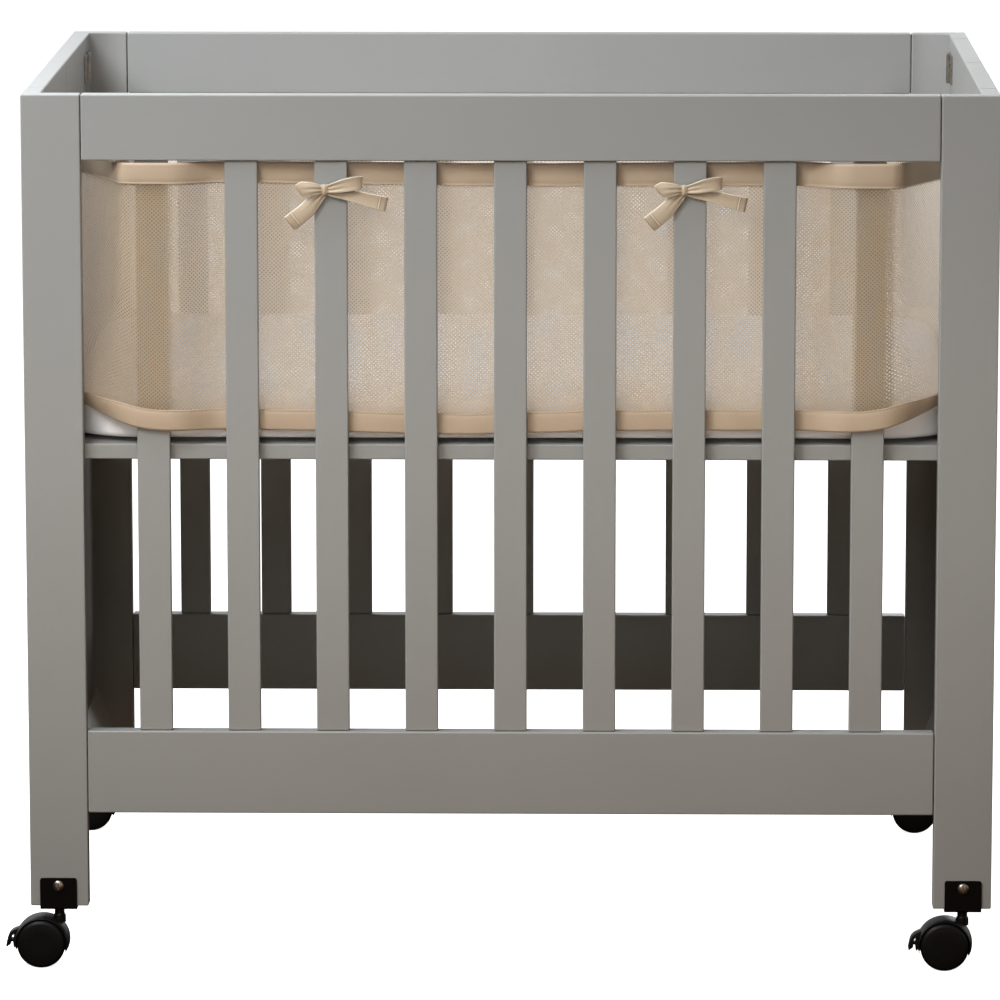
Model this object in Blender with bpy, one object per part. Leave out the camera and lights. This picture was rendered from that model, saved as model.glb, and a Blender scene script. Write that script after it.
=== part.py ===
"""A mini crib with a breathable mesh crib bumper, at rest.

The bumper is one long strip of mesh with a satin binding along each edge. It stands on edge round
the sleeping space: inside the middle slats, out through the end gaps, across the outermost slats,
and back in again to run along the solid ends. Two ribbon ties hold it to the front slats in bows.
The crib is plain: boards, slats, a mattress on a board, and four twin-wheel casters.

Metres, +Z up, +X to the right of the front, -Y towards the front, Z = 0 on the floor. The whole
stands with the middle of its box over the origin: the casters all trail to the left, so the crib
itself stands CRIB_SHIFT to the right.
"""

import math

import bmesh
import bpy
from mathutils import Matrix, Vector

# ---- the crib's frame ----
CRIB_WIDTH = 0.990  # over the outer faces of the posts
CRIB_DEPTH = 0.655  # over the front and back faces
CRIB_TOP = 0.905
BOARD = 0.019  # thickness of posts, rails and ends
POST_WIDTH = 0.060
POST_FOOT = 0.0644  # height of the posts' lower ends above the floor
POST_SIDE = 0.071  # how far a post's side board reaches, from the crib's front or back face
RAIL_TOP_LOW = 0.838  # underside of the top rails
RAIL_LOW_TOP = 0.249  # upper face of the bottom rails
RAIL_LOW_FOOT = 0.163  # underside of the bottom rails and of the ends
SLAT_COUNT = 9
SLAT_PITCH = 0.0909
SLAT_WIDTH = 0.0335
SLAT_THICK = 0.011
ARRIS = 0.0015  # rounding of the boards' edges
GROOVE = 0.0008  # shadow line between a post and a rail
JOINT_GAP = 0.0003  # between pieces that touch
CRIB_SHIFT = 0.01315

# ---- mattress and its board ----
SUPPORT_LOW = 0.529
SUPPORT_TOP = 0.545
MATTRESS_TOP = 0.594
MATTRESS_HALF_X = 0.4605
MATTRESS_HALF_Y = 0.3005
MATTRESS_CORNER = 0.082  # plan radius of its corners
MATTRESS_EDGE = 0.018  # rounding along its edges

# ---- bumper ----
MESH_THICK = 0.002
WRAP_THICK = 0.001  # one layer of the satin binding
WRAP_HALF = MESH_THICK / 2 + JOINT_GAP + WRAP_THICK  # half the thickness over the binding
TOP_EDGE = 0.8360  # outer edge of the top binding
TOP_BAND = 0.0232  # height of the top binding at the middle of the crib
TOP_BAND_SLOPE = 0.0050  # it is this much taller for each metre to the right
BOTTOM_BAND = 0.0215
SLAT_CLEAR = 0.0021  # from a slat's face to the bumper
END_GAP_HALF = 0.003  # the strip's two ends butt, this far from the middle of the left end
HUG = 3.2  # how fast the strip's plan line goes from its bottom curve to its top curve
TUCK_FADE = 0.17  # share of the height over which a tucked corner's swell dies away

# ---- ties ----
RIBBON_THICK = 0.001
TIE_SLATS = (-2, 2)  # the slats that the ties go round, counted from the middle one
KNOT_HEIGHT = 0.8092
KNOT_SIDE = -0.0058  # the knot sits left of the slat's middle

# ---- casters ----
CASTER_X = 0.466  # stem, from the crib's middle
TRAIL = 0.0185  # from the stem back to the axle
WHEEL_RADIUS = 0.025
WHEEL_SIDES = 24
AXLE_RADIUS = 0.003
STEM_RADIUS = 0.0052
PLATE_WIDTH = 0.038
PLATE_TOP = 0.0943
PLATE_FOOT = 0.0611
PLATE_THICK = 0.0015

HALF_W = CRIB_WIDTH / 2
HALF_D = CRIB_DEPTH / 2
BOARD_MID_Y = HALF_D - BOARD / 2  # middle plane of the front and back boards, from the crib's middle
SLAT_IN = BOARD_MID_Y - SLAT_THICK / 2  # inner face of the slats
SLAT_OUT = BOARD_MID_Y + SLAT_THICK / 2
END_IN = HALF_W - BOARD  # inner face of the ends
PATH_IN = SLAT_IN - SLAT_CLEAR - WRAP_HALF  # middle of the strip, inside the slats
PATH_OUT = SLAT_OUT + SLAT_CLEAR + WRAP_HALF
PATH_END = END_IN - SLAT_CLEAR - WRAP_HALF

COLOURS = {  # name: (colour, roughness, metallic)
    "painted_wood": ((0.33, 0.33, 0.315), 0.45, 0.0),
    "sheet_cotton": ((0.85, 0.85, 0.87), 0.9, 0.0),
    "mesh_knit": ((0.60, 0.49, 0.38), 0.85, 0.0),
    "satin_binding": ((0.50, 0.38, 0.27), 0.55, 0.0),
    "tie_ribbon": ((0.56, 0.45, 0.34), 0.5, 0.0),
    "black_plate": ((0.012, 0.012, 0.012), 0.4, 0.0),
    "black_nylon": ((0.008, 0.008, 0.009), 0.35, 0.0),
    "nickel": ((0.62, 0.58, 0.52), 0.3, 1.0),
}


# ---------------------------------------------------------------- helpers


def clear_scene():
    for obj in list(bpy.data.objects):
        bpy.data.objects.remove(obj, do_unlink=True)


def material(name):
    """The named Principled material, made the first time it is asked for."""
    found = bpy.data.materials.get(name)
    if found:
        return found
    made = bpy.data.materials.new(name)
    made.use_nodes = True
    colour, roughness, metallic = COLOURS[name]
    shader = made.node_tree.nodes["Principled BSDF"]
    shader.inputs["Base Color"].default_value = (*colour, 1.0)
    shader.inputs["Roughness"].default_value = roughness
    shader.inputs["Metallic"].default_value = metallic
    made.diffuse_color = (*colour, 1.0)
    return made


def new_empty(name, place, parent=None):
    empty = bpy.data.objects.new(name, None)
    bpy.context.scene.collection.objects.link(empty)
    empty.location = place
    empty.parent = parent
    return empty


def new_object(name, mesh, parent, place=(0, 0, 0), turn=0.0):
    obj = bpy.data.objects.new(name, mesh)
    bpy.context.scene.collection.objects.link(obj)
    obj.location = place
    obj.rotation_euler = (0, 0, turn)
    obj.parent = parent
    return obj


def mesh_from(bm, name, look, smooth_angle=None):
    """A mesh data block from a bmesh, with outward normals and its material."""
    bmesh.ops.recalc_face_normals(bm, faces=bm.faces)
    mesh = bpy.data.meshes.new(name)
    bm.to_mesh(mesh)
    bm.free()
    mesh.materials.append(material(look))
    if smooth_angle is not None:
        mesh.shade_smooth()
        mesh.set_sharp_from_angle(angle=math.radians(smooth_angle))
    return mesh


def add_prism(bm, outline, low, high, axis="Y"):
    """A closed prism on a 2-D outline, from low to high along the axis; X outlines are (y, z)."""
    rings = []
    for level in (low, high):
        if axis == "Y":
            ring = [bm.verts.new((a, level, b)) for a, b in outline]
        elif axis == "X":
            ring = [bm.verts.new((level, a, b)) for a, b in outline]
        else:
            ring = [bm.verts.new((a, b, level)) for a, b in outline]
        rings.append(ring)
    first, second = rings
    bm.faces.new(first)
    bm.faces.new(list(reversed(second)))
    count = len(outline)
    for i in range(count):
        j = (i + 1) % count
        bm.faces.new((first[j], first[i], second[i], second[j]))


def add_lathe(bm, profile, sides, axis="Y"):
    """Turns a profile of (radius, level) about the axis; it starts and ends at radius 0.

    The facets' middles lie on the radii, so that one facet is level underneath.
    """
    grow = 1 / math.cos(math.pi / sides)
    rings = []
    for radius, level in profile:
        if radius == 0:
            at = (0, level, 0) if axis == "Y" else (0, 0, level)
            rings.append([bm.verts.new(at)])
            continue
        ring = []
        for i in range(sides):
            angle = 2 * math.pi * (i + 0.5) / sides
            a = radius * grow * math.sin(angle)
            b = -radius * grow * math.cos(angle)
            at = (a, level, b) if axis == "Y" else (a, b, level)
            ring.append(bm.verts.new(at))
        rings.append(ring)
    for lower, upper in zip(rings, rings[1:]):
        for i in range(sides):
            j = (i + 1) % sides
            corners = [lower[i % len(lower)], lower[j % len(lower)]]
            corners += [upper[j % len(upper)], upper[i % len(upper)]]
            face = list(dict.fromkeys(corners))
            bm.faces.new(face)


def joined(first, others, operation="UNION"):
    """Applies exact Booleans of the others to the first object, and removes the others."""
    for i, other in enumerate(others):
        step = first.modifiers.new(f"{operation.lower()}_{i}", "BOOLEAN")
        step.operation = operation
        step.solver = "EXACT"
        step.object = other
    graph = bpy.context.evaluated_depsgraph_get()
    made = bpy.data.meshes.new_from_object(first.evaluated_get(graph))
    first.modifiers.clear()
    old = first.data
    first.data = made
    bpy.data.meshes.remove(old)
    for other in others:
        bpy.data.objects.remove(other, do_unlink=True)
    return first


def helper(bm, look):
    """A loose object from a bmesh, for a Boolean."""
    return new_object("helper", mesh_from(bm, "helper", look), None)


# ---------------------------------------------------------------- the crib


def board_mesh(name, size, look="painted_wood"):
    bm = bmesh.new()
    bmesh.ops.create_cube(bm, size=1.0)
    bmesh.ops.scale(bm, vec=size, verts=bm.verts)
    return mesh_from(bm, name, look)


def place_board(name, mesh, parent, place, segments=2):
    obj = new_object(name, mesh, parent, place)
    edge = obj.modifiers.new("rounded_edges", "BEVEL")
    edge.width = ARRIS
    edge.segments = segments
    edge.limit_method = "ANGLE"
    return obj


def post_mesh(name, x, y):
    """A corner post: a front board, and a side board behind it that ends above the post's foot.

    The corner's outer edge is at the origin, in plan; x and y are the signs of the corner.
    """
    bm = bmesh.new()

    def corner(across, deep, level):
        return bm.verts.new((-x * across, -y * deep, level))

    plan = ((0, 0), (POST_WIDTH, 0), (POST_WIDTH, BOARD), (BOARD, BOARD), (BOARD, POST_SIDE), (0, POST_SIDE))
    top = [corner(across, deep, CRIB_TOP) for across, deep in plan]
    step = [corner(across, deep, RAIL_LOW_FOOT) for across, deep in (*plan[3:], (0, BOARD))]
    foot = [corner(across, deep, POST_FOOT) for across, deep in (*plan[:3], (0, BOARD))]
    bm.faces.new(top)
    bm.faces.new(foot)
    bm.faces.new(step)
    bm.faces.new((foot[0], foot[1], top[1], top[0]))
    bm.faces.new((foot[1], foot[2], top[2], top[1]))
    bm.faces.new((foot[2], foot[3], step[3], step[0], top[3], top[2]))
    bm.faces.new((step[0], step[1], top[4], top[3]))
    bm.faces.new((step[1], step[2], top[5], top[4]))
    bm.faces.new((foot[3], foot[0], top[0], top[5], step[2], step[3]))
    return mesh_from(bm, name, "painted_wood")


def make_posts(crib):
    for side, x in (("left", -1), ("right", 1)):
        for face, y in (("front", -1), ("back", 1)):
            name = f"post_{face}_{side}"
            place_board(name, post_mesh(name, x, y), crib, (x * HALF_W, y * HALF_D, 0))


def make_rails(crib):
    length = CRIB_WIDTH - 2 * POST_WIDTH - 2 * GROOVE
    rows = (("top", RAIL_TOP_LOW, CRIB_TOP), ("bottom", RAIL_LOW_FOOT, RAIL_LOW_TOP))
    for level, low, high in rows:
        mesh = board_mesh(f"rail_{level}", (length, BOARD, high - low))
        for face, y in (("front", -1), ("back", 1)):
            place_board(f"rail_{face}_{level}", mesh, crib, (0, y * BOARD_MID_Y, (low + high) / 2))


def make_slats(crib):
    low = RAIL_LOW_TOP + JOINT_GAP
    high = RAIL_TOP_LOW - JOINT_GAP
    mesh = board_mesh("slat", (SLAT_WIDTH, SLAT_THICK, high - low))
    for face, y in (("front", -1), ("back", 1)):
        for i in range(SLAT_COUNT):
            x = (i - (SLAT_COUNT - 1) / 2) * SLAT_PITCH
            place = (x, y * BOARD_MID_Y, (low + high) / 2)
            place_board(f"slat_{face}_{i + 1}", mesh, crib, place, segments=1)


def make_ends(crib):
    """Each end is two leaves that meet at a seam half-way, where the real crib folds."""
    length = HALF_D - POST_SIDE - 1.5 * GROOVE
    mesh = board_mesh("end_leaf", (BOARD, length, CRIB_TOP - RAIL_LOW_FOOT))
    for side, x in (("left", -1), ("right", 1)):
        for face, y in (("front", -1), ("back", 1)):
            middle = y * (GROOVE / 2 + length / 2)
            place = (x * (HALF_W - BOARD / 2), middle, (CRIB_TOP + RAIL_LOW_FOOT) / 2)
            place_board(f"end_{side}_{face}_leaf", mesh, crib, place)


def hinge_mesh():
    """Two flat leaves, the barrel between them and three domed screw heads on each, facing +X."""
    height, reach, leaf, barrel = 0.032, 0.027, 0.0015, 0.0026
    core = bmesh.new()
    add_lathe(core, [(0, -height / 2), (barrel, -height / 2), (barrel, height / 2), (0, height / 2)], 12, "Z")
    bmesh.ops.translate(core, vec=(barrel + JOINT_GAP, 0, 0), verts=core.verts)
    low, high = JOINT_GAP, JOINT_GAP + leaf
    parts = []
    for side, levels in ((-1, (0.011, 0.002, -0.008)), (1, (0.0075, -0.003, -0.011))):
        bm = bmesh.new()
        flat = [(low, side * 0.001), (high, side * 0.001), (high, side * reach), (low, side * reach)]
        add_prism(bm, flat, -height / 2 + 0.0005, height / 2 - 0.0005, "Z")
        parts.append(helper(bm, "nickel"))
        for level in levels:
            head = bmesh.new()
            add_lathe(head, [(0, -0.0006), (0.0032, -0.0006), (0.0032, 0.0004), (0, 0.0013)], 10, "Y")
            bmesh.ops.transform(head, matrix=Matrix.Rotation(-math.pi / 2, 4, "Z"), verts=head.verts)
            bmesh.ops.translate(head, vec=(high, side * 0.019, level), verts=head.verts)
            parts.append(helper(head, "nickel"))
    return joined(helper(core, "nickel"), parts)


def make_hinges(crib):
    """A butt hinge inside each corner near the top, over the seam of a post and an end leaf."""
    pattern = hinge_mesh()
    mesh = pattern.data
    for side, x in (("left", -1), ("right", 1)):
        for face, y in (("front", -1), ("back", 1)):
            place = (x * END_IN, y * (HALF_D - POST_SIDE - GROOVE / 2), 0.872)
            new_object(f"hinge_{face}_{side}", mesh, crib, place, 0.0 if x < 0 else math.pi)
    bpy.data.objects.remove(pattern, do_unlink=True)


def make_support(crib):
    depth = 2 * (HALF_D - BOARD - JOINT_GAP)
    mesh = board_mesh("mattress_support", (2 * (END_IN - JOINT_GAP), depth, SUPPORT_TOP - SUPPORT_LOW))
    place_board("mattress_support", mesh, crib, (0, 0, (SUPPORT_TOP + SUPPORT_LOW) / 2))


def rounded_rectangle(half_x, half_y, radius, steps):
    """Points of a rounded rectangle, anticlockwise."""
    points = []
    for quarter in range(4):
        start = quarter * math.pi / 2
        sx = 1 if quarter in (0, 3) else -1
        sy = 1 if quarter in (0, 1) else -1
        for i in range(steps + 1):
            angle = start + i * math.pi / 2 / steps
            x = sx * (half_x - radius) + radius * math.cos(angle)
            y = sy * (half_y - radius) + radius * math.sin(angle)
            points.append((x, y))
    return points


def make_mattress(crib):
    """A sheeted mattress: rounded corners in plan, rounded edges, and a slight crown."""
    low, high = SUPPORT_TOP + JOINT_GAP, MATTRESS_TOP
    rows = []  # (inset, height)
    for i in range(4):
        angle = math.pi / 2 * (1 - i / 3)
        rows.append((MATTRESS_EDGE * (1 - math.cos(angle)), low + MATTRESS_EDGE * (1 - math.sin(angle))))
    for i in range(4):
        angle = math.pi / 2 * i / 3
        rows.append((MATTRESS_EDGE * (1 - math.cos(angle)), high - MATTRESS_EDGE * (1 - math.sin(angle))))
    bm = bmesh.new()
    rings = []
    for inset, level in rows:
        outline = rounded_rectangle(
            MATTRESS_HALF_X - inset, MATTRESS_HALF_Y - inset, MATTRESS_CORNER - inset, 5
        )
        rings.append([bm.verts.new((x, y, level)) for x, y in outline])
    count = len(rings[0])
    for lower, upper in zip(rings, rings[1:]):
        for i in range(count):
            j = (i + 1) % count
            bm.faces.new((lower[i], lower[j], upper[j], upper[i]))
    bm.faces.new(list(reversed(rings[0])))
    bm.faces.new(rings[-1])
    new_object("mattress", mesh_from(bm, "mattress", "sheet_cotton", 40), crib)


# ---------------------------------------------------------------- the bumper

# One quarter of the strip's plan, from the middle of the front to the middle of the left end, in
# the crib's own axes. Each row is (x, y) of the upper edge and (x, y) of the lower edge, then how
# far the lower edge is lifted where the mattress's corner pushes it up and out, then how far the
# mesh swells out over the tucked-in lower band there.
CORNER_ROWS = (
    (-0.3636, -0.3285, -0.3636, -0.3285, 0.0025, 0.0000),
    (-0.3800, -0.3280, -0.3800, -0.3278, 0.0050, 0.0004),
    (-0.3885, -0.3268, -0.3910, -0.3248, 0.0080, 0.0018),
    (-0.3950, -0.3220, -0.4020, -0.3175, 0.0112, 0.0045),
    (-0.3995, -0.3130, -0.4125, -0.3070, 0.0142, 0.0080),
    (-0.4090, -0.2930, -0.4245, -0.2970, 0.0185, 0.0110),
    (-0.4240, -0.2640, -0.4370, -0.2860, 0.0230, 0.0130),
    (-0.4400, -0.2345, -0.4490, -0.2715, 0.0240, 0.0130),
    (-0.4545, -0.2060, -0.4595, -0.2520, 0.0200, 0.0100),
    (-0.4645, -0.1780, -0.4645, -0.2270, 0.0140, 0.0055),
    (-0.4696, -0.1480, -0.4685, -0.1940, 0.0075, 0.0020),
    (-0.4708, -0.1120, -0.4706, -0.1450, 0.0030, 0.0000),
    (-0.4705, -0.0600, -0.4710, -0.0750, 0.0010, 0.0000),
    (-0.4708, 0.0000, -0.4710, 0.0000, 0.0000, 0.0000),
)
GAP_BULGE = 0.0022  # how far the mesh swells out between two slats
SAG_DEEP = 0.0045  # the lower edge sags left of the middle of the front
SAG_AT = -0.060
SAG_WIDE = 0.115
TOP_SAG = 0.0018  # the upper edge sags this much at the middle of the front
TOP_SAG_WIDE = 0.16


def quarter_rows():
    """The plan rows from the middle of the front to the middle of the left end."""
    rows = [(0.0, -PATH_IN, 0.0, -PATH_IN, 0.0, 0.0)]
    edge = SLAT_WIDTH / 2 + 0.0025
    for k in range(3):
        for x, swell in (
            (k * SLAT_PITCH + edge, 0.0),
            ((k + 0.5) * SLAT_PITCH, GAP_BULGE),
            ((k + 1) * SLAT_PITCH - edge, 0.0),
            ((k + 1) * SLAT_PITCH, 0.0),
        ):
            rows.append((-x, -PATH_IN - swell, -x, -PATH_IN - swell, 0.0, 0.0))
    start, stop = 3 * SLAT_PITCH + edge, 4 * SLAT_PITCH - edge
    for i in range(5):
        t = i / 4
        ease = t * t * (3 - 2 * t)
        x = start + t * (stop - start)
        y = PATH_IN + ease * (PATH_OUT - PATH_IN)
        rows.append((-x, -y, -x, -y, 0.0015 * t, 0.0))
    return rows + list(CORNER_ROWS)


def loop_rows():
    """The whole strip's rows: left end, back, right end, front, and back to the left end."""
    quarter = quarter_rows()

    def mirrored(sx, sy, rows):
        return [(sx * a, sy * b, sx * c, sy * d, *rest) for a, b, c, d, *rest in rows]

    rows = mirrored(1, -1, quarter[::-1])
    rows += mirrored(-1, -1, quarter)[1:]
    rows += mirrored(-1, 1, quarter[::-1])[1:]
    rows += quarter[1:]
    rows[0] = (rows[0][0], END_GAP_HALF, rows[0][2], END_GAP_HALF, 0.0, 0.0)
    rows[-1] = (rows[-1][0], -END_GAP_HALF, rows[-1][2], -END_GAP_HALF, 0.0, 0.0)
    return rows


def lower_edge(x, y, lift):
    """Height of the strip's lower edge at a plan point."""
    sag = SAG_DEEP * math.exp(-(((x - SAG_AT) / SAG_WIDE) ** 2)) if y < -0.29 else 0.0
    return 0.5600 - sag + lift


def upper_edge(x, y):
    """Height of the strip's upper edge at a plan point."""
    return TOP_EDGE - (TOP_SAG * math.exp(-((x / TOP_SAG_WIDE) ** 2)) if y < -0.29 else 0.0)


def strip_stations():
    """For each row: upper point, lower point, a unit normal out of the crib at each, the tuck, and
    the share of the height at which the lower binding ends."""
    rows = loop_rows()
    stations = []
    for i, (xt, yt, xb, yb, lift, tuck) in enumerate(rows):
        before, after = rows[max(i - 1, 0)], rows[min(i + 1, len(rows) - 1)]
        ends = []
        for k in (0, 2):
            run = Vector((after[k] - before[k], after[k + 1] - before[k + 1], 0)).normalized()
            ends.append(Vector((-run.y, run.x, 0)))
        upper = Vector((xt, yt, upper_edge(xt, yt)))
        lower = Vector((xb, yb, lower_edge(xb, yb, lift)))
        leaning = math.sqrt(BOTTOM_BAND**2 - tuck**2)
        stations.append((upper, lower, ends[0], ends[1], tuck, leaning / (upper.z - lower.z)))
    return stations


def strip_point(station, height, offset):
    """A point of the strip at a share of its height, offset along its normal.

    The lower binding is straight up and down. Above it the plan line leaves the bottom curve
    quickly, because the mattress pushes only the lowest part of the strip into the corner, and
    there the mesh swells out over its tucked-in edge.
    """
    upper, lower, normal_up, normal_low, tuck, mouth = station
    above = max(height - mouth, 0.0)
    share = 1 - (1 - min(above / (1 - mouth), 1.0)) ** HUG
    plan = lower.lerp(upper, share)
    level = lower.z + height * (upper.z - lower.z)
    normal = normal_low.lerp(normal_up, share).normalized()
    swell = tuck * min(max(height, 0.0) / mouth, 1.0) * math.exp(-((above / TUCK_FADE) ** 2))
    return Vector((plan.x, plan.y, level)) + normal * (offset + swell)


def band_heights(station):
    """Shares of the height at which the two bindings end."""
    upper, lower = station[:2]
    return station[5], 1 - (TOP_BAND + TOP_BAND_SLOPE * upper.x) / (upper.z - lower.z)


def add_tube(bm, sections):
    """Skins closed sections of equal length, with a cap on each end.

    Each twisted quad is split from its lower corner on one section to its upper corner on the
    next, whichever wall it is on, so that thin walls side by side never cross.
    """
    rings = [[bm.verts.new(p) for p in section] for section in sections]
    count = len(rings[0])
    for this, after in zip(rings, rings[1:]):
        for i in range(count):
            j = (i + 1) % count
            if this[i].co.z < this[j].co.z:
                bm.faces.new((this[i], this[j], after[j]))
                bm.faces.new((this[i], after[j], after[i]))
            else:
                bm.faces.new((this[i], this[j], after[i]))
                bm.faces.new((this[j], after[j], after[i]))
    bm.faces.new(list(reversed(rings[0])))
    bm.faces.new(rings[-1])


def mesh_section(station):
    """The mesh's section: two faces MESH_THICK apart, in rows up the strip."""
    inset = WRAP_THICK + JOINT_GAP
    tall = station[0].z - station[1].z
    low, high = inset / tall, 1 - inset / tall
    first, last = band_heights(station)
    middle = [first + (last - first) * k / 4 for k in range(1, 4)]
    levels = [low, first] + middle + [last, high]
    half = MESH_THICK / 2
    up = [strip_point(station, h, half) for h in levels]
    down = [strip_point(station, h, -half) for h in reversed(levels)]
    return up + down


def binding_section(station, at_top):
    """A binding's section: a U of satin folded over the strip's edge."""
    tall = station[0].z - station[1].z
    first, last = band_heights(station)
    inner = MESH_THICK / 2 + JOINT_GAP
    if at_top:
        mouth, bottom, closed = last, 1 - WRAP_THICK / tall, 1.0
    else:
        mouth, bottom, closed = first, WRAP_THICK / tall, 0.0
    rows = (
        (mouth, WRAP_HALF),
        (closed, WRAP_HALF),
        (closed, -WRAP_HALF),
        (mouth, -WRAP_HALF),
        (mouth, -inner),
        (bottom, -inner),
        (bottom, inner),
        (mouth, inner),
    )
    return [strip_point(station, h, offset) for h, offset in rows]


def make_bumper(crib):
    stations = strip_stations()
    bm = bmesh.new()
    add_tube(bm, [mesh_section(s) for s in stations])
    new_object("bumper_mesh", mesh_from(bm, "bumper_mesh", "mesh_knit", 50), crib)
    for name, at_top in (("binding_top", True), ("binding_bottom", False)):
        bm = bmesh.new()
        add_tube(bm, [binding_section(s, at_top) for s in stations])
        new_object(name, mesh_from(bm, name, "satin_binding", 50), crib)


# ---------------------------------------------------------------- the ties

# A ribbon's run as seen from the front, from the knot outwards. Each row is (x, depth, z) of the
# ribbon's middle, then (x, z) of a half-width vector across it. Depth is towards the viewer.
RIGHT_LOOP = (
    (0.0010, 0.0050, 0.0000, 0.0000, 0.0038),
    (0.0100, 0.0078, 0.0022, -0.0006, 0.0055),
    (0.0210, 0.0088, 0.0050, -0.0010, 0.0068),
    (0.0310, 0.0078, 0.0068, -0.0008, 0.0070),
    (0.0368, 0.0048, 0.0074, 0.0000, 0.0062),
    (0.0372, 0.0020, 0.0074, 0.0004, 0.0060),
    (0.0310, 0.0014, 0.0062, 0.0000, 0.0064),
    (0.0200, 0.0013, 0.0040, 0.0000, 0.0058),
    (0.0090, 0.0014, 0.0016, 0.0000, 0.0048),
    (0.0005, 0.0018, 0.0000, 0.0000, 0.0036),
)
LEFT_LOOP = (
    (-0.0010, 0.0050, 0.0000, 0.0000, 0.0038),
    (-0.0080, 0.0084, 0.0010, -0.0010, 0.0056),
    (-0.0160, 0.0094, 0.0010, -0.0024, 0.0072),
    (-0.0232, 0.0076, 0.0008, -0.0016, 0.0074),
    (-0.0272, 0.0046, -0.0004, -0.0036, 0.0046),
    (-0.0256, 0.0018, -0.0002, -0.0022, 0.0062),
    (-0.0200, 0.0013, 0.0006, -0.0024, 0.0062),
    (-0.0110, 0.0013, 0.0004, -0.0010, 0.0054),
    (-0.0005, 0.0018, 0.0000, 0.0000, 0.0036),
)
RIGHT_TAIL = (
    (0.0000, 0.0036, -0.0010, 0.0006, 0.0034),
    (0.0090, 0.0030, -0.0034, 0.0012, 0.0044),
    (0.0200, 0.0028, -0.0052, 0.0018, 0.0050),
    (0.0330, 0.0030, -0.0078, 0.0022, 0.0060),
    (0.0460, 0.0034, -0.0112, 0.0024, 0.0068),
    (0.0628, 0.0030, -0.0150, 0.0027, 0.0073),
)
LEFT_TAIL = (
    (0.0000, 0.0036, -0.0012, -0.0030, 0.0022),
    (-0.0050, 0.0030, -0.0066, -0.0046, 0.0030),
    (-0.0122, 0.0030, -0.0138, -0.0060, 0.0044),
    (-0.0190, 0.0036, -0.0214, -0.0064, 0.0054),
    (-0.0275, 0.0036, -0.0284, -0.0058, 0.0064),
    (-0.0358, 0.0030, -0.0352, -0.0050, 0.0072),
)


def ribbon(rows):
    """A closed strip of ribbon along the rows, RIBBON_THICK thick."""
    centres = [Vector((x, -depth, z)) for x, depth, z, _, _ in rows]
    sections = []
    for i, (_, _, _, wide_x, wide_z) in enumerate(rows):
        run = (centres[min(i + 1, len(rows) - 1)] - centres[max(i - 1, 0)]).normalized()
        across = Vector((wide_x, 0, wide_z))
        across -= run * across.dot(run)
        normal = run.cross(across).normalized() * RIBBON_THICK / 2
        c = centres[i]
        sections.append([c + across + normal, c - across + normal, c - across - normal, c + across - normal])
    bm = bmesh.new()
    add_tube(bm, sections)
    return helper(bm, "tie_ribbon")


def knot_core():
    """The wrap at the middle of the bow, a small rounded barrel of pulled ribbon."""
    bm = bmesh.new()
    rows = [(0, -0.0053), (0.0026, -0.0050), (0.0038, -0.0030), (0.0041, 0.0), (0.0038, 0.0030), (0.0026, 0.0050), (0, 0.0053)]
    add_lathe(bm, rows, 10, "Z")
    bmesh.ops.translate(bm, vec=(0, -0.0046, 0), verts=bm.verts)
    return helper(bm, "tie_ribbon")


def make_bows(crib, knots):
    runs = [ribbon(rows) for rows in (RIGHT_LOOP, LEFT_LOOP, RIGHT_TAIL, LEFT_TAIL)]
    pattern = joined(knot_core(), runs)
    mesh = pattern.data
    mesh.name = "tie_bow"
    for side, place in knots:
        new_object(f"tie_bow_{side}", mesh, crib, place)
    bpy.data.objects.remove(pattern, do_unlink=True)


def strap_ring(half_x, low_y, high_y, radius):
    """Plan outline of the strap round a slat."""
    middle, half_y = (low_y + high_y) / 2, (high_y - low_y) / 2
    return [(x, y + middle) for x, y in rounded_rectangle(half_x, half_y, radius, 3)]


def make_straps(crib, knots):
    """The ribbon from the binding round both edges of the slat to the knot, 9 mm wide."""
    back = -(PATH_IN + WRAP_HALF + JOINT_GAP)  # lies on the binding
    front = -(SLAT_OUT + 0.0010 + RIBBON_THICK)
    outer = strap_ring(SLAT_WIDTH / 2 + 0.0024, front, back, 0.0030)
    inner = strap_ring(
        SLAT_WIDTH / 2 + 0.0024 - RIBBON_THICK, front + RIBBON_THICK, back - RIBBON_THICK, 0.0020
    )
    bm = bmesh.new()
    rings = []
    for outline, level in ((outer, -0.0045), (outer, 0.0045), (inner, 0.0045), (inner, -0.0045)):
        rings.append([bm.verts.new((x, y, level)) for x, y in outline])
    count = len(outer)
    for k in range(4):
        lower, upper = rings[k], rings[(k + 1) % 4]
        for i in range(count):
            j = (i + 1) % count
            bm.faces.new((lower[i], lower[j], upper[j], upper[i]))
    mesh = mesh_from(bm, "tie_strap", "tie_ribbon", 40)
    for (side, place), k in zip(knots, TIE_SLATS):
        new_object(f"tie_strap_{side}", mesh, crib, (k * SLAT_PITCH, 0, place[2]))
    return front


def make_ties(crib):
    knots = []
    for side, k in zip(("left", "right"), TIE_SLATS):
        front = -(SLAT_OUT + 0.0010 + RIBBON_THICK + JOINT_GAP)
        knots.append((side, (k * SLAT_PITCH + KNOT_SIDE, front, KNOT_HEIGHT)))
    make_straps(crib, knots)
    make_bows(crib, knots)


# ---------------------------------------------------------------- the casters

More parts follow.
